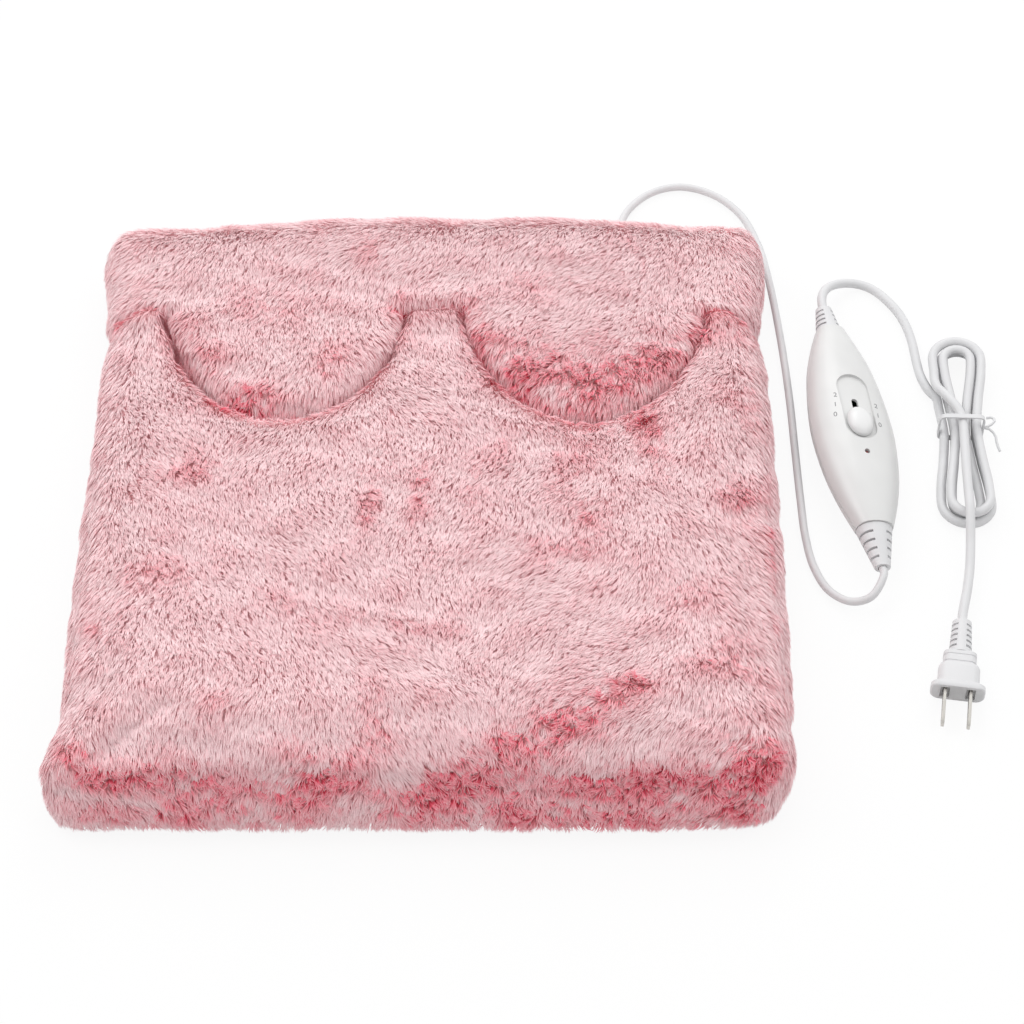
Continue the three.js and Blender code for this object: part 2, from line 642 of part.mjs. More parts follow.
// The sleeve that the lead leaves the pad through, with a lip inside the skirt.
function leadSleeve() {
  const [low, high] = [sleeveInside, halfDepth + SLEEVE.reach];
  const lip = sleeveRadius + SLEEVE.lip;
  const outline = [
    [0, low], [lip, low], [lip, low + SLEEVE.lipThick], [sleeveRadius, low + SLEEVE.lipThick],
    [sleeveRadius, high - SLEEVE.wall], [sleeveRadius - SLEEVE.wall / 2, high], [0, high],
  ];
  const [from, to] = [low - OVERRUN, high + OVERRUN];
  const bore = revolve([[0, from], [sleeveBore, from], [sleeveBore, to], [0, to]]);
  return cut(revolve(outline), bore).translate(leadX, 0, leadHeight);
}

// Controller, in its own frame: +Y towards the mains end and the parting plane at z = 0

// Value at a share of the length, on a smooth curve through [share, value] pairs.
function valueAt(shares, at) {
  const curve = new THREE.SplineCurve(shares.map(([s, v]) => new THREE.Vector2(s, v)));
  const samples = curve.getPoints(shares.length * BODY_STATIONS);
  const after = THREE.MathUtils.clamp(samples.findIndex((p) => p.x >= at), 1, samples.length - 1);
  const [a, b] = [samples[after - 1], samples[after]];
  return lerp(a.y, b.y, (at - a.x) / (b.x - a.x));
}

// Half of the housing's section at a share of its length: side 1 is the top and -1 the bottom.
function halfSection(share, side, inset, y) {
  const width = BODY.halfWidth * valueAt(BODY_WIDTH_SHARES, share) - inset;
  const full = side > 0 ? BODY.top : BODY.bottom;
  const height = full * valueAt(BODY_HEIGHT_SHARES, share) - inset - GAP / 2;
  return Array.from({ length: SECTION_STEPS + 1 }, (_, k) => {
    const angle = (Math.PI * k) / SECTION_STEPS;
    const x = Math.sign(Math.cos(angle)) * width * Math.abs(Math.cos(angle)) ** (2 / BODY.roundness);
    const z = GAP / 2 + height * Math.abs(Math.sin(angle)) ** (2 / BODY.roundness);
    return new THREE.Vector3(x, y, side * z);
  });
}

function halfHousing(side, inset) {
  const end = bodyEnd - inset;
  const shares = Array.from({ length: BODY_STATIONS + 1 }, (_, k) => k / BODY_STATIONS);
  return loft(shares.map((share) => halfSection(share, side, inset, lerp(-end, end, share))));
}

// An upright oval prism.
function oval(length, width, centre, low, high) {
  const straight = (length - width) / 2;
  const shape = new THREE.Shape();
  shape.absarc(0, straight, width / 2, 0, Math.PI);
  shape.absarc(0, -straight, width / 2, Math.PI, 2 * Math.PI);
  return extrude(shape, high - low, RECESS_STEPS).translate(0, centre, low);
}

function topShell() {
  const high = BODY.top + OVERRUN;
  const bossRadius = SCREW.radius + GAP + SCREW.boss;
  const [length, width] = [RECESS.length + 2 * BODY.wall, RECESS.width + 2 * BODY.wall];
  const hollow = cut(
    halfHousing(1, BODY.wall).translate(0, 0, -GAP),
    oval(length, width, RECESS.centre, knobFloor - RECESS.floor, high),
    ...SCREW_PLACES.map((y) => post(bossRadius, -OVERRUN, high, y)),
  );
  return cut(
    halfHousing(1, 0),
    hollow,
    oval(RECESS.length, RECESS.width, RECESS.centre, knobFloor, high),
    oval(slotLength, SLOT.width, slotCentre, 0, high),
    post(LED.radius + GAP, 0, high, LED.y),
    ...SCREW_PLACES.map((y) => post(SCREW.radius + GAP, -OVERRUN, SCREW.engaged, y)),
    ...reliefSeats(),
  );
}

function bottomShell() {
  const low = -BODY.bottom - OVERRUN;
  const bossRadius = SCREW.headRadius + GAP + SCREW.boss;
  const hollow = cut(
    halfHousing(-1, BODY.wall).translate(0, 0, GAP),
    ...SCREW_PLACES.map((y) => post(bossRadius, low, OVERRUN, y)),
  );
  const holes = SCREW_PLACES.flatMap((y) => [
    post(SCREW.radius + GAP, low, OVERRUN, y),
    post(SCREW.headRadius + GAP, low, GAP - SCREW.headDepth, y),
  ]);
  return cut(halfHousing(-1, 0), hollow, ...holes, ...reliefSeats());
}

function screw(y) {
  const top = -SCREW.headDepth;
  const low = top - SCREW.headHeight;
  const tip = SCREW.engaged - GAP;
  const profile = [
    [0, low], [SCREW.radius, low], [SCREW.headRadius, low + SCREW.headHeight / 2],
    [SCREW.headRadius, top], [SCREW.radius, top], [SCREW.radius, tip - SCREW.radius], [0, tip],
  ];
  return revolve(profile, POST_STEPS).rotateX(Math.PI / 2).translate(0, y, 0);
}

function circuitBoard() {
  const shape = roundedRectangle(BOARD.width, BOARD.length, BOARD.corner);
  const slab = extrude(shape, BOARD.thick).translate(0, 0, BOARD.top - BOARD.thick);
  const room = SCREW.headRadius + GAP + SCREW.boss + GAP;
  return cut(slab, ...SCREW_PLACES.map((y) => post(room, -BODY.bottom, 0, y)));
}

// The switch on the board: an open-topped trough that the slider runs in.
function slideSwitch() {
  const half = (KNOB_TRAVEL + SWITCH.sliderLength + GAP) / 2 + GAP;
  const low = BOARD.top + GAP;
  const [w, l] = [SWITCH.width / 2, half + SWITCH.wall];
  const outer = box([-w, slotCentre - l, low], [w, slotCentre + l, low + SWITCH.height]);
  const inside = w - SWITCH.wall;
  const trough = box(
    [-inside, slotCentre - half, low + SWITCH.wall],
    [inside, slotCentre + half, low + SWITCH.height + OVERRUN],
  );
  return cut(outer, trough);
}

// The slider in the trough, with the lever that the knob's fork holds.
function switchSlider() {
  const low = sliderBottom;
  const w = SWITCH.width / 2 - SWITCH.wall - GAP;
  const [half, stem, lever] = [SWITCH.sliderLength / 2, STEM.width / 2, LEVER.length / 2];
  return join(
    box([-w, KNOB.rest - half, low], [w, KNOB.rest + half, low + SWITCH.sliderHeight]),
    box([-stem, KNOB.rest - lever, low], [stem, KNOB.rest + lever, leverTop]),
  );
}

// The oval knob with its domed top, the stem through the slot and the fork over the lever.
function slideKnob() {
  const low = knobFloor + GAP;
  const rings = KNOB_DOME_SHARES.map(([rise, size]) => polygon(size / 2, KNOB_STEPS).map((v) => (
    new THREE.Vector3(v.x * KNOB.width, KNOB.rest + v.y * KNOB.length, low + rise * KNOB.height)
  )));
  const forkEnd = sliderBottom + SWITCH.sliderHeight + GAP;
  const [w, l] = [STEM.width / 2, STEM.length / 2];
  const stem = box([-w, KNOB.rest - l, forkEnd], [w, KNOB.rest + l, low + KNOB.height / 2]);
  const grip = LEVER.length / 2 + GAP;
  const fork = box([-STEM.width, KNOB.rest - grip, 0], [STEM.width, KNOB.rest + grip, leverTop + GAP]);
  return cut(join(loft(rings), stem), fork);
}

// The indicator stands on the board and ends just under the mouth of its hole.
function indicatorLed() {
  const low = BOARD.top + GAP;
  const high = BODY.top * valueAt(BODY_HEIGHT_SHARES, (LED.y + bodyEnd) / BODY.length) - LED.sunk;
  const base = high - BODY.wall - LED.baseRadius;
  const profile = [
    [0, low], [LED.baseRadius, low], [LED.baseRadius, base], [LED.radius, base + GAP],
    [LED.radius, high - LED.radius], [LED.radius / 2, high - GAP], [0, high],
  ];
  return revolve(profile, POST_STEPS).rotateX(Math.PI / 2).translate(0, LED.y, 0);
}

// Lip and neck behind a relief's base, grown by a margin; the base is at y = 0 and the tip at -Y.
function reliefNeck(boreRadius, margin) {
  const neck = boreRadius + RELIEF.neckWall + margin;
  const lip = neck + RELIEF.lip;
  const reach = BODY.wall + 2 * GAP;
  const end = reach + RELIEF.lipThick + margin;
  return [[0, end], [lip, end], [lip, reach - margin], [neck, reach - margin], [neck, 0]];
}

// What both reliefs take from the ends of the shells.
function reliefSeats() {
  const ends = [[HEATER_RELIEF, LEAD_DIAMETER, -1], [MAINS_RELIEF, MAINS_DIAMETER, 1]];
  return ends.map(([relief, wire, side]) => {
    const neck = reliefNeck(wire / 2 + BORE_CLEARANCE, GAP);
    const [mouth] = neck[neck.length - 1];
    const seat = revolve([...neck, [mouth, -OVERRUN], [0, -OVERRUN]]).scale(1, 1, relief.flatShare);
    return seat.rotateZ(side > 0 ? Math.PI : 0).translate(0, side * bodyEnd, 0);
  });
}

// A tapered strain relief along -Y from its base, with rows of slots on both sides that leave a
// web above and below. With a neck it is held in the end of the housing.
function strainRelief({ length, base, tip, flatShare, rows }, wire, necked) {
  const boreRadius = wire / 2 + BORE_CLEARANCE;
  const neck = necked ? reliefNeck(boreRadius, 0) : [[0, 0]];
  const core = boreRadius + RELIEF.core;
  const slots = [];
  for (let row = 1; row <= rows; row += 1) {
    for (const middle of [0, Math.PI]) {
      const [from, to] = [middle - RELIEF_SLOT_ANGLE / 2, middle + RELIEF_SLOT_ANGLE / 2];
      const shape = new THREE.Shape();
      shape.absarc(0, 0, base + OVERRUN, from, to);
      shape.absarc(0, 0, core, to, from, true);
      const y = (-length * row) / (rows + 1) + RELIEF.slot / 2;
      slots.push(extrude(shape, RELIEF.slot).rotateX(Math.PI / 2).translate(0, y, 0));
    }
  }
  const reach = length + BODY.wall + OVERRUN + RELIEF.lipThick;
  const bore = revolve([[0, -reach], [boreRadius, -reach], [boreRadius, reach], [0, reach]]);
  const outline = revolve([...neck, [base, 0], [tip, -length], [0, -length]]);
  return cut(cut(outline, ...slots).scale(1, 1, flatShare), bore);
}

// Mains hank

// A point of the hank's centreline at a step, in the hank's own frame. From the left side of its
// waist it runs towards -Y. Loops draw in up to the middle step and out again, and the right run
// there climbs to the upper layer.
function hankPoint(step) {
  const loop = 4 * QUARTER_STEPS;
  const inward = (HANK.pitch * (MIDDLE_STEP - Math.abs(step - MIDDLE_STEP))) / loop;
  const place = ((step % loop) + loop) % loop;
  const quarter = Math.floor(place / QUARTER_STEPS);
  const part = (place % QUARTER_STEPS) / QUARTER_STEPS;
  const share = quarter % 2 ? 1 - part : part;
  const centre = HANK.halfLength - HANK.lobeRadius;
  const radius = HANK.lobeRadius - inward;
  let x = lerp(HANK.waist - inward, radius, smooth(share / RUN_SHARE));
  let y = (centre * share) / RUN_SHARE;
  if (share > RUN_SHARE) {
    const angle = (Math.PI / 2) * ((share - RUN_SHARE) / (1 - RUN_SHARE));
    x = radius * Math.cos(angle);
    y = centre + radius * Math.sin(angle);
  }
  const climbed = smooth((step - MIDDLE_STEP) / (2 * QUARTER_STEPS * RUN_SHARE) + 0.5);
  const right = quarter === 1 || quarter === 2;
  return new THREE.Vector3(right ? x : -x, quarter < 2 ? -y : y, hankHeight + HANK.layer * climbed);
}

// The point beyond the end of a route by a length, in line with it.
function beyond(end, inner, length) {
  return end.clone().add(end.clone().sub(inner).setLength(length));
}

function hankRoute() {
  const count = LAST_STEP - FIRST_STEP + 1;
  const points = Array.from({ length: count }, (_, i) => hankPoint(FIRST_STEP + i));
  const start = beyond(points[0], points[1], MAINS_DIAMETER);
  const end = beyond(points[count - 1], points[count - 2], MAINS_DIAMETER);
  return [start, ...points, end];
}

// Least gap between stretches of the hank that aren't neighbours along it.
function leastGap(route) {
  const samples = route.slice(0, -1).flatMap((point, i) => (
    Array.from({ length: GAP_SAMPLES }, (_, k) => point.clone().lerp(route[i + 1], k / GAP_SAMPLES))
  ));
  const apart = GAP_SAMPLES * QUARTER_STEPS;
  let least = Infinity;
  samples.forEach((point, i) => {
    for (let j = i + apart; j < samples.length; j += 1) {
      least = Math.min(least, point.distanceTo(samples[j]));
    }
  });
  return least - MAINS_DIAMETER;
}

// The tie's band round the cords at the waist, and its two tails on the right. crossing is the
// height of the cord that runs over the hank.
function twistTie(crossing) {
  const around = MAINS_DIAMETER / 2 + GAP;
  const [left, right] = [-HANK.waist - around, hankPoint(2 * QUARTER_STEPS).x + around];
  const [low, high] = [TIE.thick + GAP, crossing + around];
  const [width, height] = [right - left, high - low];
  const outer = roundedRectangle(width + 2 * TIE.thick, height + 2 * TIE.thick, around + TIE.thick);
  outer.holes.push(roundedRectangle(width, height, around));
  const band = extrude(outer, TIE.length).rotateX(Math.PI / 2);
  band.translate((left + right) / 2, TIE.length / 2, (low + high) / 2);
  const tails = [UPPER_TAIL_SHARES, LOWER_TAIL_SHARES].map((shares) => {
    const places = shares.map((place) => new THREE.Vector3(...place).multiplyScalar(TIE.tail));
    const curve = new THREE.CatmullRomCurve3(places, false, 'centripetal');
    const tail = tubeThrough(curve.getSpacedPoints(TAIL_STEPS), TIE.tailRadius, HANK_SIDES);
    return tail.translate(right + TIE.thick + TIE.tailRadius / 2, 0, (low + high) / 2);
  });
  return join(band, ...tails);
}

// Plug, in its own frame: the cord enters at the origin, going towards -Y

// A ring of the plug's rounded rectangular section.
function plugRing(y, width, thick) {
  const shape = roundedRectangle(width, thick, thick * PLUG_CORNER_SHARE);
  const points = shape.extractPoints(CORNER_STEPS / 2).shape;
  return points.map((v) => new THREE.Vector3(v.x, y, v.y));
}

function plugBody() {
  const start = -PLUG_RELIEF.length;
  const collarEnd = start - COLLAR.length;
  const flangeStart = collarEnd - PLUG_BODY.length;
  const face = flangeStart - PLUG_FLANGE.length;
  const middle = start - COLLAR.length / 2;
  const { edge, groove } = COLLAR;
  const { narrow, shoulder, width, thick } = PLUG_BODY;
  const rim = PLUG_FLANGE.edge;
  const solid = loft([
    plugRing(start, COLLAR.width - 2 * edge, COLLAR.thick - 2 * edge),
    plugRing(start - edge, COLLAR.width, COLLAR.thick),
    plugRing(middle + groove, COLLAR.width, COLLAR.thick),
    plugRing(middle + groove / 2, COLLAR.width - groove, COLLAR.thick - groove),
    plugRing(middle - groove / 2, COLLAR.width - groove, COLLAR.thick - groove),
    plugRing(middle - groove, COLLAR.width, COLLAR.thick),
    plugRing(collarEnd, COLLAR.width, COLLAR.thick),
    plugRing(collarEnd - edge / 2, narrow, COLLAR.thick - edge),
    plugRing(collarEnd - shoulder / 2, lerp(narrow, width, SHOULDER_SHARE), thick - edge),
    plugRing(collarEnd - shoulder, width, thick),
    plugRing(flangeStart + edge, width, thick),
    plugRing(flangeStart, PLUG_FLANGE.width - 2 * rim, PLUG_FLANGE.thick - rim),
    plugRing(flangeStart - rim, PLUG_FLANGE.width, PLUG_FLANGE.thick),
    plugRing(face + rim, PLUG_FLANGE.width, PLUG_FLANGE.thick),
    plugRing(face, PLUG_FLANGE.width - 2 * rim, PLUG_FLANGE.thick - rim),
  ]);
  const relief = strainRelief(PLUG_RELIEF, MAINS_DIAMETER, false).rotateZ(Math.PI);
  const boreRadius = MAINS_DIAMETER / 2 + BORE_CLEARANCE;
  const bore = revolve([[0, collarEnd], [boreRadius, collarEnd], [boreRadius, OVERRUN], [0, OVERRUN]]);
  const sockets = [-1, 1].flatMap((side) => bladeSockets(side, face));
  return cut(join(solid, relief.translate(0, start - edge / 2, 0)), bore, ...sockets);
}

// The square pocket in the plug's face and the slot behind it that holds a blade's root.
function bladeSockets(side, face) {
  const x = (side * BLADE.spacing) / 2;
  const pocket = [BLADE_POCKET.width / 2, BLADE_POCKET.height / 2];
  const slot = [BLADE.thick / 2 + GAP, BLADE.height / 2 + GAP];
  return [
    box([x - pocket[0], face - OVERRUN, -pocket[1]], [x + pocket[0], face + BLADE_POCKET.depth, pocket[1]]),
    box([x - slot[0], face - OVERRUN, -slot[1]], [x + slot[0], face + BLADE.rooted + GAP, slot[1]]),
  ];
}

// A flat blade with a tapered tip, from its root in the plug to beyond the plug's face.
function blade(side) {
  const face = -PLUG_RELIEF.length - COLLAR.length - PLUG_BODY.length - PLUG_FLANGE.length;
  const [root, tip, half] = [face + BLADE.rooted, face - BLADE.length, BLADE.height / 2];
  const outline = [
    [root, -half], [root, half], [tip + BLADE.taper, half], [tip, BLADE.tip / 2],
    [tip, -BLADE.tip / 2], [tip + BLADE.taper, -half],
  ];
  const shape = new THREE.Shape(outline.map(([y, z]) => new THREE.Vector2(y, z)));
  const upright = new THREE.Matrix4().makeBasis(
    new THREE.Vector3(0, 1, 0),
    new THREE.Vector3(0, 0, 1),
    new THREE.Vector3(1, 0, 0),
  );
  const x = (side * BLADE.spacing - BLADE.thick) / 2;
  return extrude(shape, BLADE.thick).applyMatrix4(upright).translate(x, 0, 0);
}

// Assembly

const looks = {
  plush: { color: 0xe7a3ae, roughness: 1 },
  lining: { color: 0xe08a98, roughness: 1 },
  cloth: { color: 0xd98c99, roughness: 0.9 },
  wadding: { color: 0xf4f1ec, roughness: 1 },
  felt: { color: 0xe9e6df, roughness: 0.95 },
  wire: { color: 0xd8d4cc, roughness: 0.6 },
  gloss: { color: 0xf1f1f0, roughness: 0.25 },
  vinyl: { color: 0xe9e9e8, roughness: 0.45 },
  board: { color: 0x2f6b46, roughness: 0.6 },
  dark: { color: 0x26262a, roughness: 0.5 },
  red: { color: 0xb01818, roughness: 0.2 },
  steel: { color: 0xb9bcc0, roughness: 0.3, metalness: 1 },
};

function add(parent, name, look, geometry) {
  const mesh = new THREE.Mesh(geometry, new THREE.MeshStandardMaterial({ metalness: 0, ...looks[look] }));
  mesh.name = name;
  parent.add(mesh);
}

function placedGroup({ x, y, z = 0 }, yaw, roll = 0) {
  const placed = new THREE.Group();
  placed.position.set(x, y, z);
  placed.rotation.set(0, roll, yaw, 'ZYX');
  placed.updateMatrixWorld(true);
  return placed;
}

// Points on the Y axis of a placed group, in the model's frame.
function onAxis(placed, ...places) {
  return places.map((y) => placed.localToWorld(new THREE.Vector3(0, y, 0)));
}

function routePoints(route) {
  return route.map((place) => new THREE.Vector3(...place));
}

const warmer = new THREE.Group();
const controller = placedGroup(CONTROLLER_PLACE, CONTROLLER_YAW, CONTROLLER_ROLL);
const hank = placedGroup(HANK_PLACE, -HANK_LEAN);
const plug = placedGroup({ ...PLUG_PLACE, z: plugHeight }, PLUG_YAW);
warmer.add(controller, hank, plug);

add(warmer, 'underside_cover', 'cloth', undersideCover());
add(warmer, 'base_padding', 'felt', basePadding());
add(warmer, 'heating_sheet', 'felt', heatingSheet());
add(warmer, 'heating_wire', 'wire', heatingWire());
add(warmer, 'thermostat', 'dark', thermostat());
add(warmer, 'thermal_fuse', 'steel', thermalFuse());
add(warmer, 'lead_junction', 'vinyl', leadJunction());
add(warmer, 'base_plush', 'plush', basePlush());
add(warmer, 'upper_cover', 'plush', upperCover());
add(warmer, 'upper_wadding', 'wadding', upperWadding());
add(warmer, 'pocket_lining', 'lining', pocketLining());
add(warmer, 'lead_sleeve', 'vinyl', leadSleeve());

add(controller, 'controller_top_shell', 'gloss', topShell());
add(controller, 'controller_bottom_shell', 'gloss', bottomShell());
add(controller, 'slide_knob', 'gloss', slideKnob());
add(controller, 'switch_slider', 'dark', switchSlider());
add(controller, 'slide_switch', 'steel', slideSwitch());
add(controller, 'circuit_board', 'board', circuitBoard());
add(controller, 'indicator_led', 'red', indicatorLed());
SCREW_PLACES.forEach((y, i) => add(controller, `screw_${i + 1}`, 'steel', screw(y)));
const heaterRelief = strainRelief(HEATER_RELIEF, LEAD_DIAMETER, true);
add(controller, 'heater_relief', 'gloss', heaterRelief.translate(0, -bodyEnd - GAP, 0));
const mainsRelief = strainRelief(MAINS_RELIEF, MAINS_DIAMETER, true).rotateZ(Math.PI);
add(controller, 'mains_relief', 'gloss', mainsRelief.translate(0, bodyEnd + GAP, 0));

const hankPoints = hankRoute();
console.log('Least gap of the hank to itself, mm:', leastGap(hankPoints).toFixed(2));
const crossing = Math.max(...MAINS_FAR_ROUTE.map(([, , z]) => z));
add(hank, 'mains_hank', 'vinyl', tubeThrough(hankPoints, MAINS_DIAMETER / 2, HANK_SIDES));
add(hank, 'twist_tie', 'vinyl', twistTie(crossing));
const hankInFrame = hankPoints.map((point) => hank.localToWorld(point.clone()));

add(plug, 'plug_body', 'vinyl', plugBody());
add(plug, 'blade_left', 'steel', blade(-1));
add(plug, 'blade_right', 'steel', blade(1));

const heaterTip = bodyEnd + HEATER_RELIEF.length;
const mainsTip = bodyEnd + MAINS_RELIEF.length;
const inHousing = bodyEnd - RELIEF.cordInside;
add(warmer, 'heater_lead', 'vinyl', cord([
  new THREE.Vector3(leadX, junctionRear + GAP, leadHeight),
  new THREE.Vector3(leadX, halfDepth, leadHeight),
  new THREE.Vector3(leadX, halfDepth + SLEEVE.reach, leadHeight),
  ...routePoints(HEATER_LEAD_ROUTE),
  ...onAxis(controller, -heaterTip - LEAD_DIAMETER, -heaterTip, -bodyEnd, -inHousing),
], LEAD_DIAMETER));
add(warmer, 'mains_lead_near', 'vinyl', cord([
  ...onAxis(controller, inHousing, bodyEnd, mainsTip, mainsTip + MAINS_DIAMETER),
  ...routePoints(MAINS_NEAR_ROUTE),
  beyond(hankInFrame[0], hankInFrame[1], MAINS_DIAMETER),
  beyond(hankInFrame[0], hankInFrame[1], GAP),
], MAINS_DIAMETER));
const [lastInner, last] = hankInFrame.slice(-2);
add(warmer, 'mains_lead_far', 'vinyl', cord([
  beyond(last, lastInner, GAP),
  beyond(last, lastInner, MAINS_DIAMETER / 2),
  ...routePoints(MAINS_FAR_ROUTE),
  ...onAxis(plug, MAINS_DIAMETER, 0, -PLUG_RELIEF.length, GAP - PLUG_RELIEF.length - COLLAR.length),
], MAINS_DIAMETER));

export default warmer;
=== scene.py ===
# %% [markdown]
# A heated foot warmer: a plush pad with a pocket, a white in-line switch, a tied hank of mains
# cord and a plug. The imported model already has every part's place and size. This lesson dresses
# it: soft forms and pile for the pad, smooth mouldings for the switch, real cords, and a finish
# for every piece. All places are in metres, and most sizes are typed in millimetres times MM.

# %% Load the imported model
import math

import bmesh
import bpy
import numpy as np
from mathutils import Matrix, Vector
from mathutils.kdtree import KDTree


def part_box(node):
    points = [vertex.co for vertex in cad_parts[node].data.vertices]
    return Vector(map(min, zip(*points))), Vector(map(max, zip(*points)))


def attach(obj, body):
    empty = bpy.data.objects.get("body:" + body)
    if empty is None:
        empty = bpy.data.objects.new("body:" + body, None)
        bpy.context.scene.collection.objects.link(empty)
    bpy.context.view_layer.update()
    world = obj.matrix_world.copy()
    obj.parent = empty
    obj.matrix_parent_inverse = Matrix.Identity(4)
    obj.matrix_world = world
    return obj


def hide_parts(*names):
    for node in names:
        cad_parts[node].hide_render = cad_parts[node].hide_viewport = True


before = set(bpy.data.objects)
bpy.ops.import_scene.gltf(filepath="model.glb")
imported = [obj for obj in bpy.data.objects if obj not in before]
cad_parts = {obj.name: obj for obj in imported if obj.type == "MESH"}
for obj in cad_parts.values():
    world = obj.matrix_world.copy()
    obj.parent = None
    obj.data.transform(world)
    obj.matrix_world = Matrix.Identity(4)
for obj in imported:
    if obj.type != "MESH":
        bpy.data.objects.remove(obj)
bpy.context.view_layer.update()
MM = 0.001

# %% [markdown]
# The camera comes first, because the cords have to fit its view. The photograph looks down at
# about 52 degrees from straight in front of the pad, from far enough away that the sides of the
# pad lean in only a little. A long lens at that distance gives the same lean.


# %% Camera
def linked(name, data):
    """A new object, put into the scene."""
    made = bpy.data.objects.new(name, data)
    bpy.context.scene.collection.objects.link(made)
    return made


CAMERA_PLACE = (0.045, -0.941, 1.216)
CAMERA_DOWN = math.radians(52)
LENS, SENSOR = 104.3, 36  # in millimetres
camera_data = bpy.data.cameras.new("portrait_lens")
camera_data.lens = LENS
camera_data.sensor_width = SENSOR
camera = linked("portrait_camera", camera_data)
camera.location = CAMERA_PLACE
camera.rotation_euler = (math.pi / 2 - CAMERA_DOWN, 0, 0)
bpy.context.scene.camera = camera
bpy.context.scene.view_settings.view_transform = "Standard"
print("camera at", CAMERA_PLACE, "looking down", round(math.degrees(CAMERA_DOWN)), "degrees")

# %% [markdown]
# Materials are written as small formulas. A Wire is one output of a node, and its arithmetic adds
# Math nodes, so a mask reads like a sum. Every other node comes from one method, which takes the
# node's type, its settings and the values or wires of its inputs.


# %% Formulas for materials
class Wire:
    """One output of a node. Arithmetic with numbers and other wires adds Math nodes."""

    def __init__(self, finish, socket):
        self.finish = finish
        self.socket = socket

    def math(self, operation, *values, **settings):
        return self.finish.node("Math", {"operation": operation, **settings}, values)

    def __add__(self, other):
        return self.math("ADD", self, other)

    def __sub__(self, other):
        return self.math("SUBTRACT", self, other)

    def __mul__(self, other):
        return self.math("MULTIPLY", self, other)

    def __truediv__(self, other):
        return self.math("DIVIDE", self, other)

    __radd__ = __add__
    __rmul__ = __mul__

    def limited(self):
        return self.math("ADD", self, 0.0, use_clamp=True)

    def wave(self):
        return self.math("SINE", self)


class Finish:
    """A material whose nodes are added one call at a time."""

    def __init__(self, name):
        self.material = bpy.data.materials.new(name)
        self.material.use_nodes = True
        self.tree = self.material.node_tree
        self.tree.nodes.clear()

    def node(self, kind, settings=(), values=(), output=0):
        """Adds a node, sets it up, fills its inputs and gives one of its outputs."""
        made = self.tree.nodes.new("ShaderNode" + kind)
        for name, value in dict(settings).items():
            if name == "stops":
                while len(made.color_ramp.elements) < len(value):
                    made.color_ramp.elements.new(1)
                for stop, (place, colour) in zip(made.color_ramp.elements, value):
                    stop.position = place
                    stop.color = (*colour, 1)
            else:
                setattr(made, name, value)
        pairs = values.items() if isinstance(values, dict) else enumerate(values)
        for key, value in pairs:
            socket = made.inputs[key]
            if isinstance(value, Wire):
                self.tree.links.new(value.socket, socket)
            elif getattr(socket, "type", "") == "RGBA":
                socket.default_value = (*value, 1)
            else:
                socket.default_value = value
        return Wire(self, made.outputs[output]) if made.outputs else None

    def mix(self, share, first, second):
        return self.node("Mix", {"data_type": "RGBA"}, {0: share, 6: first, 7: second}, 2)

    def place(self):
        return self.node("TexCoord", output="Object")

    def grain(self, scale, detail, stretch=None):
        """Noise from 0 to 1, with scale waves to the metre, stretched along an axis if asked."""
        where = self.place()
        if stretch:
            where = self.node("Mapping", {}, {"Vector": where, "Scale": stretch})
        return self.node("TexNoise", {}, {"Vector": where, "Scale": scale, "Detail": detail}, "Fac")

    def bump(self, height, strength, depth):
        return self.node("Bump", {}, {"Strength": strength, "Distance": depth, "Height": height})

    def surface(self, **sockets):
        """Ends the material in a Principled shader with these sockets."""
        named = {name.replace("_", " "): value for name, value in sockets.items()}
        shader = self.node("BsdfPrincipled", {}, named)
        self.node("OutputMaterial", {}, {"Surface": shader})
        return self.material


print("formulas ready")

# %% [markdown]
# The studio is a white floor under soft light. The floor shows almost white to the camera, with
# only a trace of the pad's shadow, while its light on the object is that of plain paper. The sky
# is brightest overhead and behind the pad, so that its front face lies in soft shade. The lamps
# are large and white, so that a colour renders about as it is written.

# %% Floor, sky and lamps
FLOOR_HALF, FLOOR_Z = 6, -0.0002
SKY_BRIGHTEST = (0.0, 0.6, 0.8)  # the way to the brightest part of the sky
SKY_LEVELS = {"From Min": -0.6, "From Max": 1.0, "To Min": 0.3, "To Max": 1.06}
LAMP_TARGET = Vector((0.05, 0, 0))
paper = Finish("studio_paper")
seen = paper.node("LightPath", output="Is Camera Ray")
lit = paper.node("BsdfDiffuse", {}, {"Color": (0.9, 0.9, 0.9)})
white = paper.node("Emission", {}, {"Color": (1, 1, 1), "Strength": 1.0})
shown = paper.node("MixShader", {}, {0: seen * 0.9, 1: lit, 2: white})
paper.node("OutputMaterial", {}, {"Surface": shown})
floor = linked("studio_floor", bpy.data.meshes.new("studio_floor"))
sheet = bmesh.new()
bmesh.ops.create_grid(sheet, x_segments=1, y_segments=1, size=FLOOR_HALF)
sheet.to_mesh(floor.data)
sheet.free()
floor.location.z = FLOOR_Z
floor.data.materials.append(paper.material)

sky = bpy.data.worlds.new("studio_sky")
sky.use_nodes = True
around = sky.node_tree.nodes.new("ShaderNodeTexCoord")
facing_rear = sky.node_tree.nodes.new("ShaderNodeVectorMath")
facing_rear.operation = "DOT_PRODUCT"
facing_rear.inputs[1].default_value = SKY_BRIGHTEST
level = sky.node_tree.nodes.new("ShaderNodeMapRange")
for socket, value in SKY_LEVELS.items():
    level.inputs[socket].default_value = value
sky.node_tree.links.new(around.outputs["Generated"], facing_rear.inputs[0])
sky.node_tree.links.new(facing_rear.outputs["Value"], level.inputs[0])
background = sky.node_tree.nodes["Background"].inputs
background["Color"].default_value = (1, 1, 1, 1)
sky.node_tree.links.new(level.outputs[0], background["Strength"])
bpy.context.scene.world = sky


